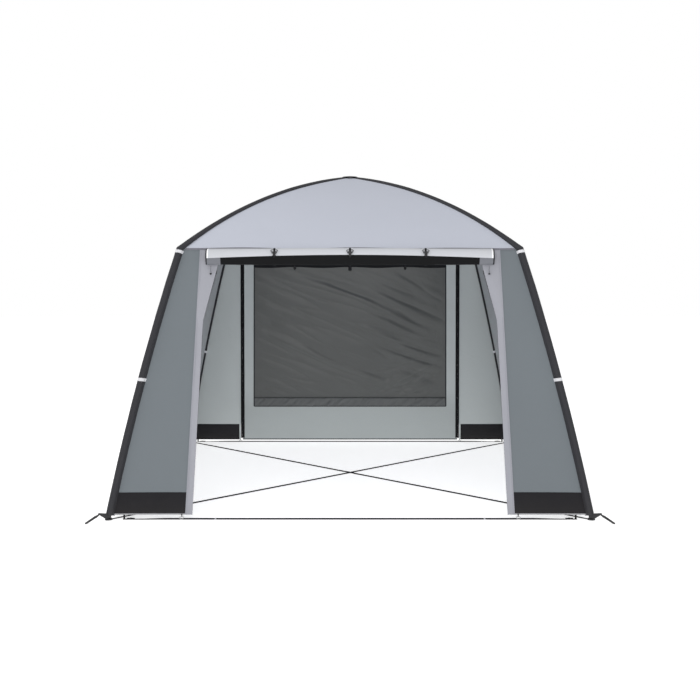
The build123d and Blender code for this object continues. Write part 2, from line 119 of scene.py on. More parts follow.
world = bpy.data.worlds.new("studio")
bpy.context.scene.world = world
world.use_nodes = True
background = world.node_tree.nodes["Background"]
background.inputs["Color"].default_value = (1, 1, 1, 1)
seen = put(world.node_tree, "ShaderNodeLightPath").outputs["Is Camera Ray"]
strength = put(world.node_tree, "ShaderNodeMapRange",
               {"Value": seen, "To Min": WORLD_LIGHT, "To Max": 1.0}).outputs[0]
world.node_tree.links.new(strength, background.inputs["Strength"])

bpy.ops.mesh.primitive_plane_add(size=80, location=(0, 0, -0.001))
floor = bpy.context.object
floor.name = "floor"
floor_paint, _, floor_shader = start_material("floor_paint", 0.9, 0.1)
floor_shader.inputs["Base Color"].default_value = (0.86, 0.86, 0.86, 1)
floor_shader.inputs["Emission Color"].default_value = (1, 1, 1, 1)
floor_shader.inputs["Emission Strength"].default_value = 0.70
floor.data.materials.append(floor_paint)

# ------------------------------------------------------------------ pole frame
# Powder-coated steel tubes plug together with ferrules, bent elbows and a moulded crown
# hub, and stand in moulded feet. They are turned parts, so the CAD shapes show as they are.
STEEL = screen(118, 120, 124)
MOULDED_BLACK = screen(34, 34, 37)
TAB_BLACK = screen(27, 27, 30)


def calc(tree, operation, first, second=0.0):
    """The output of one arithmetic node."""
    return put(tree, "ShaderNodeMath", {0: first, 1: second}, operation=operation).outputs[0]


def blend_colours(tree, share, first, second, how="MIX"):
    """The output of a colour mix."""
    made = put(tree, "ShaderNodeMix", {"Factor": share, 6: first, 7: second},
               data_type="RGBA", blend_type=how)
    return made.outputs[2]


def start_group(name, inputs, outputs):
    """An effect that several finishes share: its tree, its input and its output sockets."""
    tree = bpy.data.node_groups.new(name, "ShaderNodeTree")
    for label, kind, value in inputs:
        socket = tree.interface.new_socket(label, in_out="INPUT", socket_type=kind)
        socket.default_value = value
    for label, kind in outputs:
        tree.interface.new_socket(label, in_out="OUTPUT", socket_type=kind)
    ends = [tree.nodes.new("NodeGroupInput"), tree.nodes.new("NodeGroupOutput")]
    return tree, ends[0].outputs, ends[1].inputs


worn, given, out = start_group(
    "handled_surface",
    [("Colour", "NodeSocketColor", (0.1, 0.1, 0.1, 1)), ("Grain", "NodeSocketFloat", 400.0),
     ("Roughness", "NodeSocketFloat", 0.5)],
    [("Colour", "NodeSocketColor"), ("Roughness", "NodeSocketFloat"),
     ("Height", "NodeSocketFloat")],
)
spot = put(worn, "ShaderNodeTexCoord").outputs["Object"]
grain = put(worn, "ShaderNodeTexNoise", {"Vector": spot, "Scale": given["Grain"], "Detail": 3.0})
scuff = put(worn, "ShaderNodeTexNoise", {"Vector": spot, "Scale": 16.0, "Detail": 6.0})
scuffed = put(worn, "ShaderNodeMapRange", {"Value": scuff.outputs["Fac"], "From Min": 0.45,
                                           "From Max": 0.72}).outputs[0]
dusty = blend_colours(worn, calc(worn, "MULTIPLY", scuffed, 0.12), given["Colour"],
                      screen(110, 108, 104))
speck = calc(worn, "MULTIPLY", grain.outputs["Fac"], 0.18)
worn.links.new(blend_colours(worn, speck, dusty, (0.002, 0.002, 0.002, 1)), out["Colour"])
rough = calc(worn, "ADD", given["Roughness"], calc(worn, "MULTIPLY", scuffed, 0.18))
worn.links.new(rough, out["Roughness"])
worn.links.new(grain.outputs["Fac"], out["Height"])


def hard_material(name, colour, roughness, grain_scale, bump, metal=0.0, coat=0.0):
    """Moulded plastic or coated metal with a fine grain and scuffs."""
    material, tree, shader = start_material(name, roughness)
    finish = put(tree, "ShaderNodeGroup", node_tree=worn)
    finish.inputs["Colour"].default_value = colour
    finish.inputs["Grain"].default_value = grain_scale
    finish.inputs["Roughness"].default_value = roughness
    tree.links.new(finish.outputs["Colour"], shader.inputs["Base Color"])
    tree.links.new(finish.outputs["Roughness"], shader.inputs["Roughness"])
    relief = put(tree, "ShaderNodeBump", {"Height": finish.outputs["Height"], "Strength": bump,
                                          "Distance": 0.0004})
    tree.links.new(relief.outputs["Normal"], shader.inputs["Normal"])
    shader.inputs["Metallic"].default_value = metal
    shader.inputs["Coat Weight"].default_value = coat
    return material


def paint_nodes(material, *names):
    """Give CAD pieces their material."""
    for name in names:
        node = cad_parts[name]
        node.data.materials.clear()
        node.data.materials.append(material)


CORNERS = {"back_right": 45, "back_left": 135, "front_left": 225, "front_right": 315}
steel_coat = hard_material("steel_coat", STEEL, 0.38, 900, 0.25, metal=0.75, coat=0.2)
moulded_black = hard_material("moulded_black", MOULDED_BLACK, 0.46, 700, 0.35)
tab_black = hard_material("tab_black", TAB_BLACK, 0.4, 700, 0.3)
for corner in CORNERS:
    paint_nodes(steel_coat, f"roof_pole_{corner}", f"upper_leg_{corner}", f"lower_leg_{corner}")
paint_nodes(moulded_black, "crown_hub", "shoulder_elbows", "pole_feet")

# ------------------------------------------------------------------ pole sleeves
# Each pole runs in a dark cloth sleeve: a strip folded round it and sewn to the panels on
# both sides. Sleeves meet in a mitre at the shoulder, and a round patch covers the crown.
ROOT2 = math.sqrt(2)
APEX_Z = 2.675
SHOULDER = (1.322, 1.992)
SLEEVE_R = 0.025
SLEEVE_CLOTH = 0.0012
LEG_END_GAP = 0.014
SLEEVE_DARK = screen(52, 52, 56)
FRONT, RIGHT, BACK, LEFT = 0, 90, 180, 270


class PoleArc:
    """A round arc in a corner's upright plane, through three (half width, height) points."""

    def __init__(self, start, middle, end):
        (ax, az), (bx, bz), (cx, cz) = [(half * ROOT2, z) for half, z in (start, middle, end)]
        spread = 2 * (ax * (bz - cz) + bx * (cz - az) + cx * (az - bz))
        a, b, c = ax * ax + az * az, bx * bx + bz * bz, cx * cx + cz * cz
        self.s = (a * (bz - cz) + b * (cz - az) + c * (az - bz)) / spread
        self.z = (a * (cx - bx) + b * (ax - cx) + c * (bx - ax)) / spread
        self.radius = math.hypot(ax - self.s, az - self.z)
        self.first = math.atan2(az - self.z, ax - self.s)
        self.turn = math.atan2(cz - self.z, cx - self.s) - self.first
        self.length = abs(self.turn) * self.radius

    def point(self, reach):
        """The point at a length along the arc."""
        angle = self.first + self.turn * reach / self.length
        return Vector((self.s + self.radius * math.cos(angle), 0,
                       self.z + self.radius * math.sin(angle)))

    def direction(self, reach):
        """The way the arc runs there."""
        ahead = self.point(reach + 0.0005) - self.point(reach - 0.0005)
        return ahead.normalized()

    def half_at(self, z):
        """Half width of the arc at a height."""
        return (self.s + math.sqrt(self.radius ** 2 - (z - self.z) ** 2)) / ROOT2


def turned(point, angle):
    """A point turned about the shelter's vertical axis."""
    return Matrix.Rotation(math.radians(angle), 3, "Z") @ Vector(point)


def cut_cloth(name, columns, rows, place, size, thickness=0.0009, wrapped=False, side=0.0,
              keep=None):
    """A cloth panel: a flat grid mapped in metres, laid where place(u, v) says, then thickened."""
    bpy.ops.object.select_all(action="DESELECT")
    bpy.ops.mesh.primitive_grid_add(x_subdivisions=columns, y_subdivisions=rows, size=1)
    panel = bpy.context.object
    panel.name = name
    mesh = panel.data
    mesh.name = name
    flat = [(v.co.x + 0.5, v.co.y + 0.5) for v in mesh.vertices]
    for loop, corner in zip(mesh.loops, mesh.uv_layers[0].data):
        u, v = flat[loop.vertex_index]
        corner.uv = (u * size[0], v * size[1])
    if keep:
        for part in (mesh.vertices, mesh.edges, mesh.polygons):
            part.foreach_set("select", [False] * len(part))
        middles = [[sum(flat[i][k] for i in f.vertices) / len(f.vertices) for k in (0, 1)]
                   for f in mesh.polygons]
        for face, middle in zip(mesh.polygons, middles):
            face.select = not keep(*middle)
    for vertex, (u, v) in zip(mesh.vertices, flat):
        vertex.co = place(u, v)
    if keep:
        bpy.context.tool_settings.mesh_select_mode = (False, False, True)
        bpy.ops.object.mode_set(mode="EDIT")
        bpy.ops.mesh.delete(type="FACE")
        bpy.ops.object.mode_set(mode="OBJECT")
    if wrapped:
        bpy.ops.object.mode_set(mode="EDIT")
        bpy.ops.mesh.select_all(action="SELECT")
        bpy.ops.mesh.remove_doubles(threshold=0.00005)
        bpy.ops.object.mode_set(mode="OBJECT")
    wall = panel.modifiers.new("thickness", "SOLIDIFY")
    wall.thickness = thickness
    wall.offset = side
    bpy.ops.object.modifier_apply(modifier="thickness")
    bpy.ops.object.shade_smooth_by_angle(angle=math.radians(50))
    return panel


cloth_look, given, out = start_group(
    "woven_cloth",
    [("Colour", "NodeSocketColor", (0.5, 0.5, 0.5, 1)), ("Pitch", "NodeSocketFloat", 0.0012),
     ("Unevenness", "NodeSocketFloat", 0.1), ("Crease", "NodeSocketFloat", 0.002)],
    [("Colour", "NodeSocketColor"), ("Height", "NodeSocketFloat")],
)
coordinates = put(cloth_look, "ShaderNodeTexCoord").outputs
warp, weft = put(cloth_look, "ShaderNodeSeparateXYZ", {0: coordinates["UV"]}).outputs[:2]
threads = [calc(cloth_look, "SINE", calc(cloth_look, "DIVIDE",
                                         calc(cloth_look, "MULTIPLY", way, 2 * math.pi),
                                         given["Pitch"])) for way in (warp, weft)]
over = calc(cloth_look, "MULTIPLY", threads[0], threads[1])
slub = put(cloth_look, "ShaderNodeTexNoise", {
    "Vector": put(cloth_look, "ShaderNodeMapping",
                  {"Vector": coordinates["UV"], "Scale": (900.0, 40.0, 1.0)}).outputs[0],
    "Scale": 1.0, "Detail": 2.0})
patch = put(cloth_look, "ShaderNodeTexNoise", {"Vector": coordinates["Object"], "Scale": 2.3,
                                               "Detail": 5.0, "Distortion": 0.4})
crumple = put(cloth_look, "ShaderNodeTexNoise", {"Vector": coordinates["Object"], "Scale": 7.0,
                                                 "Detail": 3.0, "Distortion": 1.2})
shade = calc(cloth_look, "MULTIPLY", calc(cloth_look, "SUBTRACT", patch.outputs["Fac"], 0.5),
             given["Unevenness"])
fine = calc(cloth_look, "ADD", calc(cloth_look, "MULTIPLY", over, 0.035),
            calc(cloth_look, "MULTIPLY", calc(cloth_look, "SUBTRACT", slub.outputs["Fac"], 0.5),
                 0.12))
light = calc(cloth_look, "ADD", calc(cloth_look, "ADD", shade, fine), 1.0)
lit = put(cloth_look, "ShaderNodeVectorMath", {0: given["Colour"], 1: light},
          operation="MULTIPLY").outputs[0]
height = put(cloth_look, "ShaderNodeSeparateXYZ", {0: coordinates["Object"]}).outputs[2]
splash = put(cloth_look, "ShaderNodeMapRange", {"Value": calc(
    cloth_look, "ADD", height, calc(cloth_look, "MULTIPLY", crumple.outputs["Fac"], -0.12)),
    "From Min": 0.10, "From Max": -0.06, "To Max": 0.05}).outputs[0]
soiled = blend_colours(cloth_look, splash, lit, screen(120, 114, 104))
cloth_look.links.new(soiled, out["Colour"])
relief = calc(cloth_look, "ADD", calc(cloth_look, "MULTIPLY", over, 0.00004),
              calc(cloth_look, "MULTIPLY", crumple.outputs["Fac"], given["Crease"]))
cloth_look.links.new(relief, out["Height"])


def cloth_material(name, colour, roughness=0.7, pitch=0.0012, uneven=0.1, crease=0.002,
                   sheen=0.1, specular=0.35, coat=0.0):
    """Woven cloth: threads, slubs, uneven dye and shallow creases."""
    material, tree, shader = start_material(name, roughness, specular)
    look = put(tree, "ShaderNodeGroup", node_tree=cloth_look)
    for socket, value in (("Colour", colour), ("Pitch", pitch), ("Unevenness", uneven),
                          ("Crease", crease)):
        look.inputs[socket].default_value = value
    tree.links.new(look.outputs["Colour"], shader.inputs["Base Color"])
    bump = put(tree, "ShaderNodeBump", {"Height": look.outputs["Height"], "Strength": 1.0,
                                        "Distance": 1.0})
    tree.links.new(bump.outputs["Normal"], shader.inputs["Normal"])
    shader.inputs["Sheen Weight"].default_value = sheen
    shader.inputs["Sheen Roughness"].default_value = 0.5
    shader.inputs["Coat Weight"].default_value = coat
    shader.inputs["Coat Roughness"].default_value = 0.3
    return material


def dye(material, colour):
    """Feed a cloth's weave with a colour that changes over the piece: its own zones, and painted
    shade.
    """
    tree = material.node_tree
    look = next(node for node in tree.nodes if node.type == "GROUP")
    tree.links.new(colour, look.inputs["Colour"])


def dress(piece, material, body="root", stands_for=()):
    """Give a piece its finish, the body it moves with and the CAD nodes it stands for."""
    piece.data.materials.append(material)
    if body:
        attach(piece, body)
    if stands_for:
        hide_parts(*stands_for)
    return piece


roof_arc = PoleArc((0.0, APEX_Z), (0.7535, 2.410), SHOULDER)
leg_arc = PoleArc(SHOULDER, (1.566, 1.010), (1.762, 0.020))
mitre = (roof_arc.direction(roof_arc.length) + leg_arc.direction(0)).normalized()
SIDEWAYS = Vector((0, 1, 0))


def sleeve(name, arc, start, end, angle, profile, mitre_at=None):
    """A cloth tube round an arc; profile gives its radius from the angle round and the length."""
    length = end - start

    def place(u, v):
        reach = start + length * v
        centre, along = arc.point(reach), arc.direction(reach)
        outward = along.cross(SIDEWAYS)
        turn = -2 * math.pi * u
        spoke = outward * math.cos(turn) + SIDEWAYS * math.sin(turn)
        point = centre + spoke * profile(turn, reach)
        if mitre_at is not None and abs(reach - mitre_at) < 0.0005:
            corner = arc.point(mitre_at)
            point -= along * (point - corner).dot(mitre) / along.dot(mitre)
        return turned(point, angle)

    rows = round(length / 0.018)
    return cut_cloth(name, 28, rows, place, (2 * math.pi * SLEEVE_R, length), SLEEVE_CLOTH,
                     wrapped=True, side=-1.0)


def leg_profile(turn, reach):
    """Round over the pole, drawn to a narrow fin inside, with small puckers at the bands."""
    fin = 0.026 * max(0.0, -math.cos(turn)) ** 16
    near_band = sum(math.exp(-((reach - at) / 0.045) ** 2) for at in (0.021, leg_band_at + 0.012))
    pucker = 0.0007 * math.sin(9 * turn + 40 * reach) * near_band
    ripple = 0.0012 * noise.noise(Vector((math.cos(turn), math.sin(turn), reach * 5)))
    return SLEEVE_R + fin + pucker + ripple


def roof_profile(turn, reach):
    """Taut over the pole, with a low fin on each side where the roof cloth is sewn in."""
    taut = max(0.0, math.sin(math.pi * reach / roof_arc.length)) ** 0.5
    fins = (0.004 + 0.003 * taut) * abs(math.sin(turn)) ** 14
    ripple = 0.0010 * noise.noise(Vector((math.cos(turn), math.sin(turn), reach * 5 + 9)))
    return SLEEVE_R - ROOF_SLEEVE_TAUT * taut + fins + ripple


ROOF_SLEEVE_TAUT = 0.0075
leg_band_at = leg_arc.length / 2
leg_end = leg_arc.length - LEG_END_GAP
sleeve_cloth = cloth_material("sleeve_cloth", SLEEVE_DARK, 0.6, uneven=0.16, sheen=0.04,
                              specular=0.22)
SLEEVE_ARM_START = 0.045
for corner, angle in CORNERS.items():
    leg = sleeve(f"leg_sleeve_{corner}_cloth", leg_arc, 0.0, leg_end, angle, leg_profile, 0.0)
    dress(leg, sleeve_cloth, stands_for=[f"leg_sleeve_{corner}"])
    arm = sleeve(f"roof_sleeve_{corner}", roof_arc, SLEEVE_ARM_START, roof_arc.length, angle,
                 roof_profile, roof_arc.length)
    dress(arm, sleeve_cloth,
          stands_for=["roof_sleeves"] if corner == "front_left" else [])

CROWN_R = 0.078


def crown_point(u, v):
    """The patch drapes over the four sleeves and dips between them."""
    radius = CROWN_R * (1 - v) + 0.0004
    around = 2 * math.pi * u
    over_pole = abs(math.cos(2 * around + math.pi / 2)) ** 1.5
    drop = (radius / CROWN_R) ** 1.2 * (0.010 + 0.012 * (1 - over_pole))
    return Vector((radius * math.cos(around), radius * math.sin(around),
                   APEX_Z + SLEEVE_R + 0.002 - drop))


crown_patch = cut_cloth("crown_patch", 48, 10, crown_point, (2 * math.pi * CROWN_R, CROWN_R),
                        0.0014, wrapped=True)
dress(crown_patch, sleeve_cloth)


# Light bands are sewn round each sleeve, under the shoulder and at half height, a little
# aslant, with a row of stitches along both edges.
BAND_W = 0.024
BAND_LIGHT = screen(226, 226, 230)

stitching, given, out = start_group(
    "stitch_rows",
    [("Width", "NodeSocketFloat", 0.02), ("Inset", "NodeSocketFloat", 0.003),
     ("Step", "NodeSocketFloat", 0.005)],
    [("Mask", "NodeSocketFloat")],
)
across, along = put(stitching, "ShaderNodeSeparateXYZ",
                    {0: put(stitching, "ShaderNodeTexCoord").outputs["UV"]}).outputs[:2]
from_edge = calc(stitching, "MINIMUM", across, calc(stitching, "SUBTRACT", given["Width"], across))
off_row = calc(stitching, "ABSOLUTE", calc(stitching, "SUBTRACT", from_edge, given["Inset"]))
in_row = calc(stitching, "LESS_THAN", off_row, 0.0005)
phase = calc(stitching, "FRACT", calc(stitching, "DIVIDE", along, given["Step"]))
stitching.links.new(calc(stitching, "MULTIPLY", in_row, calc(stitching, "LESS_THAN", phase, 0.7)),
                    out["Mask"])


def stitched_material(name, colour, thread, width, inset=0.003, roughness=0.75, pitch=0.0016):
    """Tape or a folded hem with a row of stitches along both edges."""
    material = cloth_material(name, colour, roughness, pitch, uneven=0.12, crease=0.0008,
                              sheen=0.0, specular=0.12)
    tree = material.node_tree
    shader = tree.nodes["Principled BSDF"]
    look = next(node for node in tree.nodes if node.type == "GROUP")
    rows = put(tree, "ShaderNodeGroup", node_tree=stitching)
    rows.inputs["Width"].default_value = width
    rows.inputs["Inset"].default_value = inset
    mask = rows.outputs["Mask"]
    tree.links.new(blend_colours(tree, mask, look.outputs["Colour"], thread),
                   shader.inputs["Base Color"])
    raised = calc(tree, "ADD", look.outputs["Height"], calc(tree, "MULTIPLY", mask, 0.0004))
    tree.links.new(raised, tree.nodes["Bump"].inputs["Height"])
    return material


def strip(name, line, facing, width, rows, thickness=0.001, columns=2, wrapped=False, side=1.0,
          profile=None):
    """A tape or strap along line(v), its face towards facing(v)."""
    steps = [Vector(line(i / rows)) for i in range(rows + 1)]
    length = sum((b - a).length for a, b in zip(steps, steps[1:]))

    def place(u, v):
        near, far = max(0.0, v - 0.002), min(1.0, v + 0.002)
        if wrapped:
            near, far = v - 0.002, v + 0.002
        ahead = (Vector(line(far)) - Vector(line(near))).normalized()
        face = Vector(facing(v)).normalized()
        sideways = ahead.cross(face).normalized()
        rise = profile(u, v) if profile else 0.0
        return Vector(line(v)) + sideways * (u - 0.5) * width + face * rise

    return cut_cloth(name, columns, rows, place, (width, length), thickness, wrapped, side)


band_cloth = stitched_material("band_webbing", BAND_LIGHT, screen(170, 170, 175), BAND_W)
for corner, angle in CORNERS.items():
    for level, start in (("top", 0.009), ("middle", leg_band_at)):
        def ring(v, start=start, angle=angle):
            """Once round the sleeve, slightly aslant."""
            turn = -2 * math.pi * v
            reach = start + BAND_W / 2 + 0.004 * math.cos(turn)
            along_leg = leg_arc.direction(reach)
            spoke = along_leg.cross(SIDEWAYS) * math.cos(turn) + SIDEWAYS * math.sin(turn)
            radius = leg_profile(turn, reach) + 0.0004
            return turned(leg_arc.point(reach) + spoke * radius, angle)

        def away(v, start=start, angle=angle):
            """Away from the pole's centre line."""
            turn = -2 * math.pi * v
            along_leg = leg_arc.direction(start)
            return turned(along_leg.cross(SIDEWAYS) * math.cos(turn)
                          + SIDEWAYS * math.sin(turn), angle)

        band = strip(f"{level}_band_{corner}", ring, away, BAND_W, 48, 0.0009, 4, wrapped=True)
        dress(band, band_cloth)
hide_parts("sleeve_bands")

# ------------------------------------------------------------------ roof
# Four light panels of coated cloth are sewn between the sleeves. Each is one curved sheet,
# pulled into a shallow saddle between its two poles, with a dark tape along the eaves that
# stands in as painted shadow under the roof's edge.
EAVES_HALF = 1.303
EAVES_Z = 1.990
ROOF_LIGHT = screen(197, 201, 213)
INTO_SLEEVE = 0.028
ROOF_DISH = 0.016
roof_profile_arc = PoleArc((0.030 / ROOT2, 2.671), (0.7535 / ROOT2, 2.409),
                           (1.307 / ROOT2, 1.999))


def roof_point(u, v, angle):
    """A point of the front roof panel, from the eaves at v = 0 to the crown at v = 1."""
    here = roof_profile_arc.point(roof_profile_arc.length * (1 - v) * 0.985 + 0.015 * 1.4)
    half = here.x - INTO_SLEEVE
    side = 2 * u - 1
    dish = ROOF_DISH * 4 * v * (1 - v) * (1 - side ** 2)
    puff = 0.004 * noise.noise(Vector((side * half * 1.6, v * 2.2, angle))) * (1 - side ** 8)
    sag = 0.004 * (1 - v) ** 6 * math.cos(math.pi * side * 3) * (1 - side ** 4)
    lift = 0.012 * v ** 6
    return turned((side * half, -here.x, here.z - dish + puff + sag + lift), angle)


roof_cloth = cloth_material("roof_cloth", ROOF_LIGHT, 0.66, uneven=0.05, crease=0.0012,
                            sheen=0.05)
# Painted shadow: this grey tape along the eaves stands for the shade line under the roof's edge.
eaves_shadow_tape = stitched_material("eaves_shadow_tape", screen(128, 128, 136), screen(90, 90, 96), 0.016)
ROOF_FLAT = (2 * (1.307 - INTO_SLEEVE), roof_profile_arc.length)
for side, angle in (("front", FRONT), ("right", RIGHT), ("back", BACK), ("left", LEFT)):
    panel = cut_cloth(f"roof_cloth_{side}", 72, 56,
                      lambda u, v, angle=angle: roof_point(u, v, angle), ROOF_FLAT)
    dress(panel, roof_cloth, stands_for=[f"roof_panel_{side}"])
    beside = [corner for corner, at in CORNERS.items() if (at - angle) % 360 in (225, 315)]
    tape = strip(
        f"eaves_tape_{side}",
        lambda v, angle=angle: roof_point(v, 0.0, angle) + turned((0, -0.0015, -0.006), angle),
        lambda v, angle=angle: turned((0, -1, 0.35), angle), 0.016, 80, 0.0012)
    dress(tape, eaves_shadow_tape)

# ------------------------------------------------------------------ side walls
# One flat-cut panel a side, sewn between two corner sleeves, so its edges follow their bow.
GROUND_HALF = 1.745
LEAN = math.atan((GROUND_HALF - EAVES_HALF) / EAVES_Z)
HEM_Z = 0.031
FLAP_TOP_Z = 0.182
WALL_TOP_Z = 1.992
CLOTH_OUT = 0.0016
SIDE_GREY = screen(158, 162, 166)


def wall_half(z):
    """Distance from the centre to a wall at height z."""
    return GROUND_HALF - (GROUND_HALF - EAVES_HALF) * z / EAVES_Z


def corner_half(z):
    """Half width of a wall at height z, where its cloth meets the corner sleeve."""
    return leg_arc.half_at(min(z, EAVES_Z)) - SLEEVE_R / ROOT2 + 0.002


def between(ends, z, low=HEM_Z, high=EAVES_Z):
    """Half width at height z of a straight line given by its lower and upper ends."""
    return ends[0] + (ends[1] - ends[0]) * (z - low) / (high - low)


def wall_point(x, z, bow_from=0.8, rise=0.0):
    """A point on the front wall's cloth, bowed out to the corner sleeves near its edges."""
    half = corner_half(z)
    near = min(1.0, max(0.0, (abs(x) / half - bow_from) / (1 - bow_from)))
    flat = wall_half(z) + CLOTH_OUT / 2
    return Vector((x, -(flat + (half - flat) * near ** 1.6 + rise * math.cos(LEAN)),
                   z + rise * math.sin(LEAN)))


def wall_panel(name, left, right, low, high, angle, columns, rows, rise=None, bow_from=0.8,
               thickness=0.0009):
    """A wall cloth between two edges; returns the piece, its flat size and its flat area."""
    long = (high - low) / math.cos(LEAN)
    widths = [right(z) - left(z) for z in (low, (low + high) / 2, high)]

    def place(u, v):
        z = low + (high - low) * v
        x = left(z) + (right(z) - left(z)) * u
        ease = (1 - (2 * u - 1) ** 6) * (1 - (2 * v - 1) ** 6)
        lift = rise(x, z, ease) if rise else 0.0
        return turned(wall_point(x, z, bow_from, lift), angle)

    size = (max(widths), long)
    piece = cut_cloth(name, columns, rows, place, size, thickness)
    return piece, size, (widths[0] + 4 * widths[1] + widths[2]) / 6 * long


def wall_tape(name, path, angle, width, rise, facing=(0, -1, 0.22), rows=60, **more):
    """A tape sewn to a wall; path(v) gives its x and its height."""
    return strip(name, lambda v: turned(wall_point(*path(v), rise=rise), angle),
                 lambda v: turned(facing, angle), width, rows, **more)


def slack(seed, depth, fine=0.0):
    """Soft fullness of a stretched wall: broad swells and finer upright folds."""
    def rise(x, z, ease):
        broad = noise.noise(Vector((x * 1.3, z * 0.9, seed)))
        folds = noise.noise(Vector((x * 7.0, z * 0.8, seed + 5.0)))
        return (depth * broad + fine * folds) * ease
    return rise


side_cloth = cloth_material("side_wall_cloth", SIDE_GREY, 0.7, uneven=0.07)
for side, angle in (("right", RIGHT), ("left", LEFT)):
    wall, size, area = wall_panel(
        f"{side}_wall_cloth", lambda z: -corner_half(z), corner_half, FLAP_TOP_Z, WALL_TOP_Z,
        angle, 110, 64, slack(angle, 0.018, 0.005), bow_from=0.45)
    dress(wall, side_cloth, stands_for=[f"{side}_wall"])

# ------------------------------------------------------------------ front wings
# Beside the doorway the front wall has a darker wing of cloth, and a light flap that covers
# the door zip and widens into a gusset at the top. A thin piping closes the corner seam.
WING_GREY = screen(114, 121, 126)
FLAP_LIGHT = screen(162, 163, 171)
WING_EDGE = (1.222, 1.181)
FLAP_EDGE = (1.208, 1.166)
FLAP_HEM_W = 0.012
PIPING_W = 0.010
ZIP_LINE = ((0.031, 1.156), (1.440, 1.124), (1.853, 1.026), (1.990, 1.008))


def along_line(points, z):
    """Half width at height z of a line through (z, half width) points."""
    for (low, a), (high, b) in zip(points, points[1:]):
        if z <= high or high == points[-1][0]:
            return a + (b - a) * (z - low) / (high - low)


wing_cloth = cloth_material("wing_cloth", WING_GREY, 0.68, uneven=0.05, crease=0.0012)
light_cloth = cloth_material("light_cloth", FLAP_LIGHT, 0.68, uneven=0.05, crease=0.0022)
flap_hem = stitched_material("flap_hem", FLAP_LIGHT, screen(140, 141, 150), FLAP_HEM_W)
piping_tape = stitched_material("corner_piping", screen(140, 138, 138), screen(80, 80, 84),
                                PIPING_W, inset=0.002)


def hand_edges(hand, inner, outer):
    """Left and right edges of a panel on one hand of the front, from its half widths."""
    if hand > 0:
        return inner, outer
    return (lambda z: -outer(z)), (lambda z: -inner(z))


def flap_rise(x, z, ease):
    """The zip flap lies over the wing's edge and ripples a little."""
    ripple = noise.noise(Vector((x * 9.0, z * 1.6, 3.0))) * 0.004
    gusset = 0.006 * math.exp(-((z - 1.62) / 0.16) ** 2) * math.sin(38 * abs(x) + 9 * z)
    return 0.0030 + (ripple + gusset) * ease


for side, hand in (("left", -1), ("right", 1)):
    left, right = hand_edges(hand, lambda z: between(FLAP_EDGE, z) - 0.006, corner_half)
    wing, size, area = wall_panel(f"front_{side}_wing_cloth", left, right, FLAP_TOP_Z, WALL_TOP_Z,
                                  FRONT, 28, 70, slack(20 + hand, 0.004, 0.0012))
    dress(wing, wing_cloth, stands_for=[f"front_{side}_wing"])
    left, right = hand_edges(hand, lambda z: along_line(ZIP_LINE, z),
                             lambda z: between(FLAP_EDGE, z))
    flap, size, area = wall_panel(f"front_zip_flap_{side}", left, right, HEM_Z, WALL_TOP_Z,
                                  FRONT, 20, 110, flap_rise)
    dress(flap, light_cloth,
          stands_for=["front_zip_flaps"] if hand < 0 else [])
    hem = wall_tape(f"flap_hem_{side}",
                    lambda v: (hand * (between(FLAP_EDGE, 1.99 - 1.955 * v) - 0.007),
                               1.99 - 1.955 * v), FRONT, FLAP_HEM_W, 0.0040)
    dress(hem, flap_hem)


def corner_seam(v, hand):
    """Just inside the corner sleeve, down a wall's edge."""
    z = 1.975 - 1.79 * v
    return hand * (corner_half(z) - 0.0105), z


for side, angle in (("front", FRONT), ("right", RIGHT), ("back", BACK), ("left", LEFT)):
    for end, hand in (("left", -1), ("right", 1)):
        seam = wall_tape(f"corner_seam_{side}_{end}", lambda v: corner_seam(v, hand), angle,
                         PIPING_W, 0.0012)
        dress(seam, piping_tape)

# ------------------------------------------------------------------ back wall
# Two outer panels and a full-width door between two upright zips. The door has a large
# dark film window with a bound edge, and is sewn to the eaves, where it hinges.
BACK_GREY = screen(194, 200, 200)
DOOR_PAINTED_SHADE = screen(178, 184, 184)
FILM_DARK = screen(80, 82, 81)
BACK_HEM_Z = 0.026
BACK_FLAP_TOP_Z = 0.200
BACK_ZIP = (1.166, 1.124)
DOOR_TOP_Z = 1.984
WINDOW = ((0.400, 1.035), (1.907, 1.001))
GUARD_W = 0.016
BINDING_W = 0.012
HEADER_W = 0.036
TOGGLE_X = 0.576
INWARDS = (0, 1, 0)


def back_zip(z):
    """Half width of the back door's zip line."""
    return between(BACK_ZIP, z, BACK_HEM_Z)


def window_half(z):
    """Half width of the window at height z."""
    return along_line(WINDOW, z)


back_cloth = cloth_material("back_cloth", BACK_GREY, 0.7, uneven=0.06)
door_cloth = cloth_material("back_door_cloth", BACK_GREY, 0.7, uneven=0.06)
door_tree = door_cloth.node_tree
door_height = put(door_tree, "ShaderNodeSeparateXYZ",
                  {0: put(door_tree, "ShaderNodeTexCoord").outputs["Object"]}).outputs[2]
# Painted shade: the door's cloth is painted darker towards its bottom, fading in from 0.60 m down
# to 0.35 m.
painted_shade_low = put(door_tree, "ShaderNodeMapRange",
               {"Value": door_height, "From Min": 0.60, "From Max": 0.35}).outputs[0]
dye(door_cloth, blend_colours(door_tree, painted_shade_low, BACK_GREY, DOOR_PAINTED_SHADE))
guard_cloth = stitched_material("zip_guard", BACK_GREY, screen(150, 154, 156), GUARD_W)
for side, hand in (("right", -1), ("left", 1)):
    guard = wall_tape(f"back_zip_guard_{side}",
                      lambda v: (hand * (back_zip(1.98 - 1.952 * v) + 0.029), 1.98 - 1.952 * v),
                      BACK, GUARD_W, -0.0008, facing=(0, 1, -0.2), thickness=0.0012)
    dress(guard, guard_cloth)
    left, right = hand_edges(hand, lambda z: back_zip(z) + 0.002, corner_half)
    panel, size, area = wall_panel(f"back_{side}_cloth", left, right, BACK_FLAP_TOP_Z, WALL_TOP_Z,
                                   BACK, 24, 60, slack(40 + hand, 0.004, 0.002))
    dress(panel, back_cloth, stands_for=[f"back_{side}_panel"])

DOOR_COLUMNS = (6, 66, 72)
DOOR_ROWS = (11, 56, 60)


def on_door(piece):
    """Bake a piece's placement into its mesh."""
    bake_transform(piece)


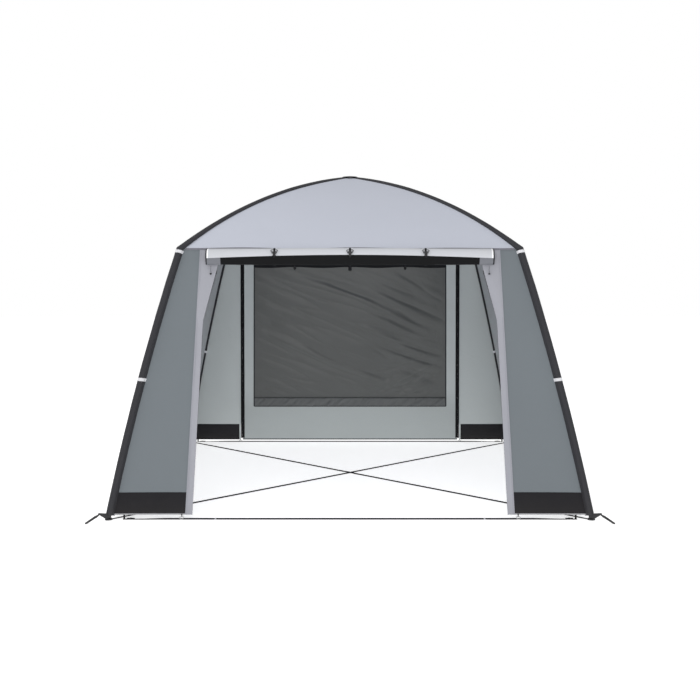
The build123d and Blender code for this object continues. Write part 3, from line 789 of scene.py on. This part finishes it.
def door_place(u, v):
    """The door's grid, its lines gathered to the window's edges."""
    low, high, rows = (part / DOOR_ROWS[2] for part in DOOR_ROWS)
    first, last, columns = (part / DOOR_COLUMNS[2] for part in DOOR_COLUMNS)
    steps = ((0.0, BACK_HEM_Z), (low, WINDOW[0][0]), (high, WINDOW[1][0]), (rows, DOOR_TOP_Z))
    z = along_line(steps, v)
    spread = ((0.0, -back_zip(z)), (first, -window_half(z)), (last, window_half(z)),
              (columns, back_zip(z)))
    x = along_line(spread, u)
    ease = 1 - (2 * v - 1) ** 8
    swell = 0.003 * noise.noise(Vector((x * 6.0, z * 0.9, 71.0))) * ease
    return turned(wall_point(x, z, rise=swell), BACK)


def outside_window(u, v):
    """Whether a face of the door's grid is cloth and not window."""
    return not (DOOR_COLUMNS[0] < u * DOOR_COLUMNS[2] < DOOR_COLUMNS[1]
                and DOOR_ROWS[0] < v * DOOR_ROWS[2] < DOOR_ROWS[1])


door_long = (DOOR_TOP_Z - BACK_HEM_Z) / math.cos(LEAN)
door = cut_cloth("back_door_cloth", DOOR_COLUMNS[2], DOOR_ROWS[2], door_place,
                 (2 * BACK_ZIP[0], door_long), keep=outside_window)
dress(door, door_cloth, body=None, stands_for=["back_door_panel"])
on_door(door)


WINDOW_HEM_W = 0.088
HEM_SEAM_Z = WINDOW[0][0] + 0.006 + WINDOW_HEM_W


def film_rise(x, z, ease):
    """Long wrinkles run aslant, down from the hinge side, and fade out at the lower hem."""
    drift = 0.10 * noise.noise(Vector((x * 1.1, z * 1.3, 5.0)))
    slant = z - 0.42 * x + drift
    long_fold = noise.noise(Vector((slant * 13.0, (x + 0.4 * z) * 0.8, 12.0)))
    ridge = (1 - abs(noise.noise(Vector((slant * 9.0, (x + 0.4 * z) * 1.1, 40.0))))) ** 6
    low_corner = (1 - abs(noise.noise(Vector(((z + 0.50 * x) * 10.0, (x - z) * 0.9, 31.0))))) ** 5
    near_corner = math.exp(-((x + 0.75) / 0.40) ** 2 - ((z - 0.60) / 0.30) ** 2)
    broad = noise.noise(Vector((x * 1.4, z * 1.4, 50.0)))
    above_hem = min(1.0, max(0.0, (z - HEM_SEAM_Z) / 0.06))
    folds = 0.013 * long_fold + 0.009 * ridge + 0.024 * low_corner * near_corner + 0.012 * broad
    return 0.0015 + folds * ease * above_hem


film = cloth_material("window_film", FILM_DARK, 0.30, pitch=0.003, uneven=0.18, crease=0.004,
                      sheen=0.0, specular=0.5, coat=0.15)
film.node_tree.nodes["Principled BSDF"].inputs["Coat Roughness"].default_value = 0.35
window, size, area = wall_panel(
    "back_window_film", lambda z: -window_half(z) - 0.008, lambda z: window_half(z) + 0.008,
    WINDOW[0][0] - 0.008, WINDOW[1][0] + 0.006, BACK, 190, 150, film_rise, thickness=0.0006)
dress(window, film, body="back_door", stands_for=["back_window"])

BINDING_DARK = screen(52, 54, 58)
CRINKLED = screen(106, 108, 108)
binding = stitched_material("window_binding", BINDING_DARK, screen(90, 90, 94), BINDING_W)
crinkled_hem = stitched_material("crinkled_hem", CRINKLED, screen(70, 70, 74), WINDOW_HEM_W,
                                 roughness=0.42)
corners_of_window = [(-WINDOW[0][1], WINDOW[0][0]), (WINDOW[0][1], WINDOW[0][0]),
                     (WINDOW[1][1], WINDOW[1][0]), (-WINDOW[1][1], WINDOW[1][0])]
edges = zip(("bottom", "left", "top", "right"), corners_of_window,
            corners_of_window[1:] + corners_of_window[:1])
for name, (x0, z0), (x1, z1) in edges:
    for face, rise in (("inner", -0.0022), ("outer", 0.0024)):
        edge = wall_tape(f"window_binding_{name}_{face}",
                         lambda v: (x0 + (x1 - x0) * v, z0 + (z1 - z0) * v), BACK, BINDING_W,
                         rise, facing=(0, -1 if rise > 0 else 1, 0), thickness=0.0008)
        dress(edge, binding, body="back_door")


def crinkles(u, v):
    """Puckers of the folded hem below the window."""
    slanted = v + 0.040 * u
    pucker = 0.012 * noise.noise(Vector((slanted * 30, u * 0.5, 4.0)))
    fine = 0.006 * noise.noise(Vector((slanted * 66, u * 0.9, 9.0)))
    return (pucker + fine) * (1 - (2 * u - 1) ** 4)


hem_band = wall_tape(
    "window_hem_band",
    lambda v: ((2 * v - 1) * (WINDOW[0][1] - 0.008), HEM_SEAM_Z - WINDOW_HEM_W / 2), BACK,
    WINDOW_HEM_W, -0.0095, facing=INWARDS, rows=300, thickness=0.0008, columns=10,
    profile=crinkles)
dress(hem_band, crinkled_hem, body="back_door")
hem_seam = wall_tape(
    "window_hem_seam", lambda v: ((2 * v - 1) * (WINDOW[0][1] - 0.006), HEM_SEAM_Z), BACK,
    0.006, -0.0098, facing=INWARDS)
dress(hem_seam, binding, body="back_door")


def header_line(v):
    """The header of the window sags a little between the toggles."""
    x = (2 * v - 1) * (WINDOW[1][1] + 0.005)
    sag = 0.010 * math.sin(math.pi * x / TOGGLE_X) ** 2
    return x, WINDOW[1][0] + 0.008 - sag


header_black = stitched_material("window_header", screen(30, 31, 33), screen(58, 58, 62),
                                 HEADER_W)
header = wall_tape("window_header", header_line, BACK, HEADER_W, -0.0034, facing=INWARDS,
                   rows=90, thickness=0.0012)
dress(header, header_black, body=None)
on_door(header)
door_hem = wall_tape(
    "back_door_hem", lambda v: ((1 - 2 * v) * (BACK_ZIP[0] - 0.002), BACK_HEM_Z + 0.005), BACK,
    0.010, -0.0018, facing=INWARDS, thickness=0.0012)
dress(door_hem, binding, body="back_door")

# ------------------------------------------------------------------ mud flaps
# Black coated flaps close the walls to the ground, sewn on below the wall cloth, with a
# narrow light hem. A small webbing loop at each doorway side carries the peg ring.
MUD_BLACK = screen(29, 28, 32)
HEM_LIGHT = screen(176, 176, 180)
RING_X = {"front": WING_EDGE[0] + 0.010, "back": BACK_ZIP[0] + 0.027}
RING_CLEAR = 0.020
MUD_HEM_W = 0.009
BESIDE_ZIP = 0.036
LOOP_Z = 0.021
mud_cloth = cloth_material("mud_flap_cloth", MUD_BLACK, 0.55, pitch=0.0016, uneven=0.3,
                           crease=0.002, sheen=0.0, specular=0.18)
mud_hem = stitched_material("mud_flap_hem", HEM_LIGHT, screen(120, 120, 124), MUD_HEM_W,
                            inset=0.002)


def flap_lift(low, high, seed):
    """A mud flap stands a little away from the wall towards its free lower edge."""
    def rise(x, z, ease):
        down = 1 - (z - low) / (high - low)
        wave = noise.noise(Vector((x * 5.0, z * 2.0, seed)))
        return 0.0016 - 0.0012 * down + 0.0012 * wave * down * (1 - down) * 4
    return rise


flap_jobs = []
for hand, side in ((-1, "left"), (1, "right")):
    flap_jobs.append((f"mud_flap_front_{side}", FRONT, HEM_Z, FLAP_TOP_Z,
                      *hand_edges(hand, lambda z: between(FLAP_EDGE, z) - 0.004, corner_half)))
    flap_jobs.append((f"mud_flap_back_{side}", BACK, BACK_HEM_Z, BACK_FLAP_TOP_Z,
                      *hand_edges(-hand, lambda z: back_zip(z) + BESIDE_ZIP, corner_half)))
for side, angle in (("right", RIGHT), ("left", LEFT)):
    flap_jobs.append((f"mud_flap_{side}", angle, HEM_Z, FLAP_TOP_Z,
                      lambda z: -corner_half(z), corner_half))
for index, (name, angle, low, high, left, right) in enumerate(flap_jobs):
    wide = right(low) - left(low)
    lift = flap_lift(low, high, 60.0 + index)
    flap, size, area = wall_panel(name, left, right, low, high + 0.006, angle,
                                  max(20, round(wide / 0.02)), 12, lift, thickness=0.0011)
    dress(flap, mud_cloth, stands_for=["mud_flaps"] if index == 0 else [])
    clear = RING_CLEAR if angle == BACK else 0.0
    start = left(low) + (clear if left(low) > 0 else 0.0)
    stop = right(low) - (clear if right(low) < 0 else 0.0)
    hem = wall_tape(f"{name}_hem", lambda v: (start + (stop - start) * v, low + MUD_HEM_W / 2),
                    angle, MUD_HEM_W, 0.0006, facing=(0, -1, 0.2),
                    rows=max(20, round(wide / 0.02)))
    dress(hem, mud_hem)

# ------------------------------------------------------------------ zips
# Coarse moulded zips on black tape, sewn to the inside of the cloth: one half to the fixed
# panel and one half to the door. The front door's own halves are rolled up with it.
ZIP_BLACK = screen(18, 18, 21)
TAPE_W = 0.016
BACK_TAPE_W = 0.0195
TAPE_GAP = 0.00015
TOOTH_STEP = 0.005
TOOTH = (0.0034, 0.0044, 0.0022)
zip_tape = stitched_material("zip_tape", ZIP_BLACK, screen(38, 38, 41), TAPE_W, inset=0.0025)
tooth_black = hard_material("tooth_black", screen(14, 14, 16), 0.55, 900, 0.2)


def teeth(name, bottom, top, angle, body):
    """A straight row of moulded teeth between two (half width, height) points."""
    start, end = [turned(wall_point(x, z, rise=-0.0003), angle) for x, z in (bottom, top)]
    along = (end - start).normalized()
    inward = turned((0, math.cos(LEAN), -math.sin(LEAN)), angle)
    bpy.ops.object.select_all(action="DESELECT")
    bpy.ops.mesh.primitive_cube_add(size=1)
    row = bpy.context.object
    row.name = name
    for vertex in row.data.vertices:
        taper = 0.7 if vertex.co.z > 0 else 1.0
        vertex.co = Vector((vertex.co.x * TOOTH[0], vertex.co.y * TOOTH[1] * taper,
                            vertex.co.z * TOOTH[2]))
    step = row.modifiers.new("step", "ARRAY")
    step.use_relative_offset = False
    step.use_constant_offset = True
    step.constant_offset_displace = (TOOTH_STEP, 0, 0)
    step.count = int((end - start).length / TOOTH_STEP)
    bpy.ops.object.modifier_apply(modifier="step")
    place = Matrix((along, inward.cross(along), inward)).transposed()
    for vertex in row.data.vertices:
        vertex.co = start + place @ vertex.co
    dress(row, tooth_black, body=body)
    return row


def tape(name, edge, low, high, angle, hand, offset, body, width=TAPE_W):
    """A zip tape beside the zip line; edge gives the line's half width at a height."""
    piece = wall_tape(name, lambda v: (hand * (edge(low + (high - low) * v) + offset),
                                       low + (high - low) * v), angle, width, -0.0012,
                      facing=(0, 1, -0.22), rows=70)
    dress(piece, zip_tape, body=body)
    return piece


def front_zip(z):
    """Half width of the front door's zip line."""
    return along_line(ZIP_LINE, z)


for side, hand in (("left", -1), ("right", 1)):
    front = tape(f"front_zip_tape_{side}", front_zip, HEM_Z, 1.853, FRONT, hand, 0.009, "root")
    if hand < 0:
        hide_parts("zip_tapes")
    for part, (low, high) in (("upright", ZIP_LINE[:2]), ("slant", ZIP_LINE[1:3])):
        teeth(f"front_zip_teeth_{part}_{side}", (hand * (low[1] + 0.001), low[0]),
              (hand * (high[1] + 0.001), high[0] - 0.02), FRONT, "root")
    beside = BACK_TAPE_W / 2 + TAPE_GAP
    tape(f"back_zip_tape_{side}", back_zip, BACK_HEM_Z + 0.02, 1.978, BACK, -hand, beside,
         "root", BACK_TAPE_W)
    on_door(tape(f"back_door_tape_{side}", back_zip, BACK_HEM_Z + 0.02, 1.978, BACK, -hand,
                 -beside, None, BACK_TAPE_W))
    for half, offset, body in (("fixed", 0.0018, "root"), ("door", -0.0018, None)):
        row = teeth(f"back_zip_teeth_{half}_{side}",
                    (-hand * (back_zip(0.05) + offset), 0.05),
                    (-hand * (back_zip(1.97) + offset), 1.97), BACK, body)
        if not body:
            on_door(row)

zip_metal = hard_material("zip_metal", screen(58, 58, 62), 0.34, 1200, 0.2, metal=0.8)
pull_plastic = hard_material("pull_plastic", screen(32, 32, 35), 0.45, 900, 0.3)
for end in ("front_left", "front_right", "back_left", "back_right"):
    paint_nodes(zip_metal, f"zip_slider_{end}")
    paint_nodes(pull_plastic, f"zip_pull_{end}")

# ------------------------------------------------------------------ rolled front door
# The front door is rolled up under the eaves: grey cloth round a dark film window, with a
# silvery blackout lining on the last turn outside, and black zip tape on both side edges.
# The grey cloth and the near-black film are partly painted shade: they are darker than the
# door's own cloth and film, for the shaded underside of the roll.
ROLL_HALF = 1.112
ROLL_Z = 1.927
ROLL_DEEP = 0.030
ROLL_TALL = 0.060
ROLL_SWELL = 0.008
ROLL_RISE = 0.003
ROLL_TURNS = 9
LEAD = 0.02
LINING_TURN = 1.70
LINING_RISE = 0.37
TIE_X = (-0.583, 0.0, 0.583)
roll_y = -wall_half(ROLL_Z) - 0.014 - ROLL_DEEP
LINING_SILVER = screen(201, 203, 208)
# Partly painted shade: the roll's grey cloth is darker than the door's own cloth, for the roll's
# shaded underside.
ROLL_GREY_PAINTED_SHADE = screen(118, 120, 126)
# Partly painted shade: the rolled film is near-black, far darker than the back window's film, for
# the shade under the roll.
ROLL_FILM_PAINTED_SHADE = screen(10, 11, 13)


def roll_pinch(x):
    """How far the ties draw the roll in: 1 under a tie, 0 between them."""
    return sum(math.exp(-((x - tie) / 0.045) ** 2) for tie in TIE_X)


def roll_section(x, turn, share):
    """A point of the roll's section at x, turned from its top towards the front."""
    bow = 1 - (x / ROLL_HALF) ** 2
    pinch = roll_pinch(x)
    deep = ROLL_DEEP * (1.0 - 0.12 * pinch)
    tall = ROLL_TALL + ROLL_SWELL * bow
    centre_z = ROLL_Z + ROLL_RISE * bow
    lining = turn < LINING_TURN - LINING_RISE * bow
    if lining:
        billow = 0.5 + 0.5 * noise.noise(Vector((x * 5.0, turn * 1.2, 2.0)))
        from_tie = abs(x - round(x / TIE_X[2]) * TIE_X[2])
        gather = math.sin(5.0 * turn + 1.0) * math.sin(from_tie * 110)
        puff = 0.0035 * billow * (1 - pinch) + 0.0035 * gather * min(1.0, pinch * 1.4)
    else:
        puff = -0.0030 + 0.0015 * noise.noise(Vector((x * 7.0, turn, 8.0)))
    y = roll_y - (deep * share + puff) * math.sin(turn)
    z = centre_z + (tall * share + puff * 0.4) * math.cos(turn)
    return y, z


def roll_point(u, v):
    """The door's cloth, from the eaves round into the roll."""
    x = (1 - 2 * u) * ROLL_HALF
    if v < LEAD:
        part = v / LEAD
        y, z = roll_section(x, 0.0, 1.0)
        eaves = -EAVES_HALF - 0.003
        return Vector((x, eaves + (y - eaves) * part, 1.996 + (z - 1.996) * part ** 2))
    inward = (v - LEAD) / (1 - LEAD)
    turn = inward * ROLL_TURNS * 2 * math.pi
    y, z = roll_section(x, turn, 1 - 0.86 * inward)
    return Vector((x, y, z))


roll_long = 1.98
roll_cloth = cloth_material("rolled_door_cloth", ROLL_GREY_PAINTED_SHADE, 0.5, pitch=0.0014, uneven=0.05,
                            sheen=0.0, specular=0.12)
roll_tree = roll_cloth.node_tree
roll_map = put(roll_tree, "ShaderNodeSeparateXYZ",
               {0: put(roll_tree, "ShaderNodeTexCoord").outputs["UV"]}).outputs
off_middle = calc(roll_tree, "ABSOLUTE", calc(roll_tree, "SUBTRACT", roll_map[0], ROLL_HALF))
per_turn = roll_long * (1 - LEAD) / (ROLL_TURNS * 2 * math.pi)
outward = calc(roll_tree, "POWER", calc(roll_tree, "DIVIDE", off_middle, ROLL_HALF), 2.0)
lining_end = calc(roll_tree, "ADD", calc(roll_tree, "MULTIPLY", outward, LINING_RISE * per_turn),
                  roll_long * LEAD + (LINING_TURN - LINING_RISE) * per_turn)
# The film zone takes the near-black painted shade; the cloth at the ends takes the darkened grey.
is_film_painted_shade = calc(roll_tree, "LESS_THAN", off_middle, 0.998)
is_lining = calc(roll_tree, "LESS_THAN", roll_map[1], lining_end)
is_hem = calc(roll_tree, "GREATER_THAN", off_middle, ROLL_HALF - 0.020)
is_tape = calc(roll_tree, "GREATER_THAN", off_middle, ROLL_HALF - 0.009)
zones = blend_colours(roll_tree, is_film_painted_shade, ROLL_GREY_PAINTED_SHADE, ROLL_FILM_PAINTED_SHADE)
zones = blend_colours(roll_tree, is_lining, zones, LINING_SILVER)
zones = blend_colours(roll_tree, calc(roll_tree, "MULTIPLY", is_hem, is_lining), zones,
                      screen(248, 248, 250))
dye(roll_cloth, blend_colours(roll_tree, is_tape, zones, ZIP_BLACK))
roll = cut_cloth("rolled_front_door_cloth", 200, 150, roll_point, (2 * ROLL_HALF, roll_long),
                 0.0007)
dress(roll, roll_cloth, stands_for=["rolled_front_door"])

# Three webbing loops hold the roll, each closed by a barrel toggle at the front, and an
# elastic cord with a ball hangs below each end.
WEBBING_BLACK = screen(30, 30, 33)
TIE_W = 0.014
TIE_TUCK = 0.012
black_webbing = stitched_material("black_webbing", WEBBING_BLACK, screen(58, 58, 62), 0.025,
                                  inset=0.003, roughness=0.62, pitch=0.003)
tie_webbing = stitched_material("tie_webbing", WEBBING_BLACK, screen(58, 58, 62), TIE_W,
                                inset=0.002, roughness=0.62)
toggle_black = hard_material("toggle_black", screen(26, 26, 29), 0.36, 800, 0.25)


def barrel(name, place, radius, length, waist=0.74):
    """A moulded barrel toggle that stands upright, drawn in at its middle."""
    bpy.ops.object.select_all(action="DESELECT")
    bpy.ops.mesh.primitive_cylinder_add(vertices=24, radius=radius, depth=length, location=place)
    toggle = bpy.context.object
    toggle.name = name
    bpy.ops.object.transform_apply(location=True, rotation=False, scale=False)
    bpy.ops.object.mode_set(mode="EDIT")
    for share in (-0.30, -0.16, 0.16, 0.30):
        bpy.ops.mesh.select_all(action="SELECT")
        bpy.ops.mesh.bisect(plane_co=(place[0], place[1], place[2] + share * length),
                            plane_no=(0, 0, 1))
    bpy.ops.object.mode_set(mode="OBJECT")
    for vertex in toggle.data.vertices:
        if abs(vertex.co.z - place[2]) < 0.2 * length:
            vertex.co.x = place[0] + (vertex.co.x - place[0]) * waist
            vertex.co.y = place[1] + (vertex.co.y - place[1]) * waist
    edge = toggle.modifiers.new("edge", "BEVEL")
    edge.width = radius * 0.32
    edge.segments = 3
    edge.limit_method = "ANGLE"
    edge.angle_limit = math.radians(40)
    bpy.ops.object.modifier_apply(modifier="edge")
    bpy.ops.object.shade_smooth_by_angle(angle=math.radians(50))
    return toggle


for name, x in zip(("left", "centre", "right"), TIE_X):
    def round_roll(v, x=x):
        """Once round the roll, tucked in where the light cloth ends at its lower front."""
        turn = 2 * math.pi * v
        bow = 1 - (x / ROLL_HALF) ** 2
        tucked = TIE_TUCK if 0.25 < v < 0.5 else 0.0
        y = roll_y - (ROLL_DEEP * 0.88 + 0.0030 - tucked) * math.sin(turn)
        z = (ROLL_Z + ROLL_RISE * bow
             + (ROLL_TALL + ROLL_SWELL * bow + 0.0024 - tucked) * math.cos(turn))
        return Vector((x, y, z))

    loop = strip(f"door_tie_{name}", round_roll,
                 lambda v: (0, -math.sin(2 * math.pi * v), math.cos(2 * math.pi * v)),
                 TIE_W, 48, 0.0014, wrapped=True)
    dress(loop, tie_webbing, stands_for=["door_ties"] if name == "left" else [])
    toggle = barrel(f"door_toggle_{name}", (x, roll_y - ROLL_DEEP - 0.0080, ROLL_Z + 0.027),
                    0.0125, 0.036)
    dress(toggle, toggle_black)
    for index, (rise, wide) in enumerate(((0.050, 0.050), (0.036, 0.036))):
        bpy.ops.object.select_all(action="DESELECT")
        bpy.ops.mesh.primitive_torus_add(
            major_radius=wide / 2, minor_radius=0.0030, major_segments=28, minor_segments=8,
            location=(x, roll_y - ROLL_DEEP * 0.86 - 0.006, ROLL_Z + rise),
            rotation=(math.radians(62), 0, 0))
        cord_loop = bpy.context.object
        cord_loop.name = f"toggle_loop_{name}_{index + 1}"
        bpy.ops.object.transform_apply(location=True, rotation=True, scale=False)
        for vertex in cord_loop.data.vertices:
            vertex.co.z = ROLL_Z + rise + (vertex.co.z - ROLL_Z - rise) * 0.5
        bpy.ops.object.shade_smooth()
        dress(cord_loop, tie_webbing)

CORD_THICK = 0.0045
elastic_grey = cloth_material("elastic_cord", screen(120, 122, 128), 0.7, pitch=0.002)


def ball(name, place, radius):
    """A cord ball: a sphere flattened a little, with a dimple where the cord comes through."""
    bpy.ops.object.select_all(action="DESELECT")
    bpy.ops.mesh.primitive_uv_sphere_add(segments=24, ring_count=14, radius=radius, location=place)
    made = bpy.context.object
    made.name = name
    bpy.ops.object.transform_apply(location=True, rotation=False, scale=False)
    for vertex in made.data.vertices:
        off = Vector((vertex.co.x - place[0], vertex.co.y - place[1]))
        vertex.co.z = place[2] + (vertex.co.z - place[2]) * 0.92
        if off.length < radius * 0.25:
            vertex.co.z -= math.copysign(radius * 0.22, vertex.co.z - place[2])
    bpy.ops.object.shade_smooth()
    return made


for side, x in (("left", -1.075), ("right", 1.075)):
    knob = ball(f"end_cord_ball_{side}", (x, roll_y, 1.800), 0.008)
    dress(knob, toggle_black)
    route = [(x, roll_y, 1.8610), (x + 0.001, roll_y, 1.847), (x - 0.003, roll_y + 0.001, 1.832),
             (x + 0.002, roll_y, 1.818), (x, roll_y, 1.8045)]
    line = bpy.data.curves.new(f"end_cord_{side}", "CURVE")
    line.dimensions = "3D"
    spline = line.splines.new("NURBS")
    spline.points.add(len(route) - 1)
    for point, co in zip(spline.points, route):
        point.co = (*co, 1)
    spline.order_u = 3
    spline.use_endpoint_u = True
    line.bevel_depth = CORD_THICK / 2
    line.bevel_resolution = 3
    line.resolution_u = 12
    elastic = bpy.data.objects.new(f"end_cord_{side}", line)
    bpy.context.scene.collection.objects.link(elastic)
    dress(elastic, elastic_grey)
    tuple(route[0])

# ------------------------------------------------------------------ toggles of the back door
# Three short straps with barrel toggles hang inside, above the window, for tying up the door.
TOGGLE_TOP_Z = 1.950
toggle_y = wall_half(TOGGLE_TOP_Z) - 0.012
for name, x, drop, wide in (("left", -TOGGLE_X, 0.062, 0.024), ("centre", 0.0, 0.076, 0.032),
                            ("right", TOGGLE_X, 0.062, 0.024)):
    body = f"window_toggle_{name}"
    strap = strip(f"toggle_strap_{name}",
                  lambda v, x=x: (x, toggle_y + 0.0015 * math.sin(9 * v),
                                  TOGGLE_TOP_Z + 0.001 - (drop + 0.016) * v),
                  lambda v: (0, -1, 0), wide, 24, 0.0016, side=0.0)
    dress(strap, black_webbing, body=body, stands_for=[body])
    end = barrel(f"toggle_barrel_{name}", (x, toggle_y, TOGGLE_TOP_Z - drop), 0.0080, 0.044)
    dress(end, toggle_black, body=body)

# ------------------------------------------------------------------ peg rings
# A moulded ring at each doorway foot takes a tent peg. It swings in a loop of webbing
# that is sewn to the hem, under a small ball.
ring_clear = hard_material("ring_plastic", screen(205, 206, 208), 0.3, 500, 0.15, coat=0.3)
for side, angle in (("front", FRONT), ("back", BACK)):
    for name, hand in (("left", -1), ("right", 1)):
        paint_nodes(ring_clear, f"peg_ring_{side}_{name}")
        x = (hand if side == "front" else -hand) * RING_X[side]

        def loop_line(v, x=x, angle=angle):
            """Round the ring's upper bar and up both faces of the hem."""
            turn = 2 * math.pi * v
            reach = 0.0036
            y = -wall_half(LOOP_Z) - 0.0008
            lift = 0.012 * max(0.0, math.cos(turn)) ** 3
            return turned((x, y - reach * math.sin(turn), LOOP_Z + reach * math.cos(turn) + lift),
                          angle)

        loop = strip(f"peg_loop_{side}_{name}", loop_line,
                     lambda v, angle=angle: turned((0, -math.sin(2 * math.pi * v),
                                                    math.cos(2 * math.pi * v)), angle),
                     0.006, 40, 0.0012, wrapped=True)
        dress(loop, tie_webbing)
        ball_z = LOOP_Z + 0.0135
        place = turned((x, -wall_half(ball_z) - 0.0072, ball_z), angle)
        dress(ball(f"peg_loop_ball_{side}_{name}", place, 0.0055), toggle_black)

# ------------------------------------------------------------------ ground straps
# Webbing straps tie the feet together: one along the front, one along the back and a
# crossing pair. They lie flat, thread ladder-lock buckles and rise to the mud flaps.
STRAP_W = 0.024
STRAP_T = 0.0018
STRAP_Y = 1.750
STRAP_END = 1.661
BUCKLE_X = 1.606
BUCKLE_TOP = 0.0088
strap_webbing = stitched_material("strap_webbing", screen(44, 44, 47), screen(80, 80, 84),
                                  STRAP_W, inset=0.003, roughness=0.66, pitch=0.0024)


def strap_tilt(x):
    """Slope across the strap: drawn tight, it stands a little on one edge between buckles."""
    clear = min(1.0, max(0.0, (BUCKLE_X - 0.05 - abs(x)) / 0.25))
    return 0.24 * clear * clear * (3 - 2 * clear)


def strap_height(x):
    """Height of the strap's middle: flat on the ground, and over each buckle's bar."""
    off = abs(abs(x) - BUCKLE_X)
    over = min(1.0, max(0.0, (0.019 - off) / 0.011))
    ripple = 0.0004 * (1 + noise.noise(Vector((x * 6.0, 0, 1.0))))
    ripple += STRAP_W / 2 * abs(strap_tilt(x)) * 0.97
    return STRAP_T / 2 + ripple + (BUCKLE_TOP - STRAP_T / 2) * over * over * (3 - 2 * over)


tip = {FRONT: 1, BACK: -1}
for side, angle in (("front", FRONT), ("back", BACK)):
    strap = strip(
        f"ground_strap_{side}",
        lambda v, angle=angle: turned(((2 * v - 1) * STRAP_END, -STRAP_Y,
                                       strap_height((2 * v - 1) * STRAP_END)), angle),
        lambda v, angle=angle: turned((0, -tip[angle] * strap_tilt((2 * v - 1) * STRAP_END), 1),
                                      angle),
        STRAP_W, 700, STRAP_T, side=0.0)
    dress(strap, strap_webbing,
          stands_for=["ground_straps"] if side == "front" else [])
    for hand, end in ((-1, "left"), (1, "right")):
        riser = strip(
            f"strap_riser_{side}_{end}",
            lambda v, hand=hand, angle=angle: turned(
                (hand * (STRAP_END - 0.007), -wall_half(HEM_Z) - CLOTH_OUT - 0.0012 * v,
                 0.0012 + 0.034 * v), angle),
            lambda v, angle=angle: turned((0, -1, 0), angle), 0.014, 12, STRAP_T, side=0.0)
        dress(riser, black_webbing)

keeper_cloth = stitched_material("keeper_webbing", screen(215, 215, 218), screen(150, 150, 154),
                                 0.012, inset=0.002)
for side, angle, x in (("front", FRONT, 0.984), ("back", BACK, 1.434)):
    for hand, end in ((-1, "left"), (1, "right")):
        def round_strap(v, x=hand * x, angle=angle):
            """Once round the strap, just outside its faces."""
            turn = 2 * math.pi * v
            wide, tall = STRAP_W / 2 + 0.0012, STRAP_T / 2 + 0.0010
            off = wide * math.copysign(abs(math.cos(turn)) ** 0.4, math.cos(turn))
            up = tall * math.copysign(abs(math.sin(turn)) ** 0.6, math.sin(turn))
            tilt = tip[angle] * off * strap_tilt(x)
            return turned((x, -STRAP_Y + off, strap_height(x) + up + tilt), angle)

        def off_strap(v, angle=angle):
            """Away from the strap's middle."""
            return turned((0, math.cos(2 * math.pi * v), 1.6 * math.sin(2 * math.pi * v)), angle)

        keeper = strip(f"strap_keeper_{side}_{end}", round_strap, off_strap, 0.012, 48, 0.0008,
                       wrapped=True)
        dress(keeper, keeper_cloth)

DIAGONAL_TIP = 0.22
foot_reach = leg_arc.point(leg_arc.length).x - 0.0285
for index, (name, angle) in enumerate((("rising", 45), ("falling", 135))):
    def lies(v, index=index, angle=angle):
        """Straight between opposite feet; the second strap crosses over the first."""
        s = (2 * v - 1) * foot_reach
        hump = (STRAP_T + 0.0002) * index * math.exp(-(s / 0.05) ** 2)
        free = 1 - (2 * v - 1) ** 8
        lift = STRAP_T / 2 + 0.0002 + STRAP_W / 2 * DIAGONAL_TIP * free
        return turned((s, 0.0008 * math.sin(s * 2.2), lift + hump), angle)

    def tipped(v):
        """Tipped a little, except at the feet."""
        return (0, -DIAGONAL_TIP * (1 - (2 * v - 1) ** 8), 1)

    strap = strip(f"diagonal_strap_{name}", lies, tipped, STRAP_W, 260, STRAP_T, side=0.0)
    dress(strap, strap_webbing,
          stands_for=["diagonal_straps"] if index == 0 else [])

buckle_black = hard_material("buckle_black", screen(30, 30, 33), 0.4, 800, 0.3)
paint_nodes(buckle_black, "strap_buckles")
for corner in CORNERS:
    paint_nodes(tab_black, f"corner_tab_{corner}")
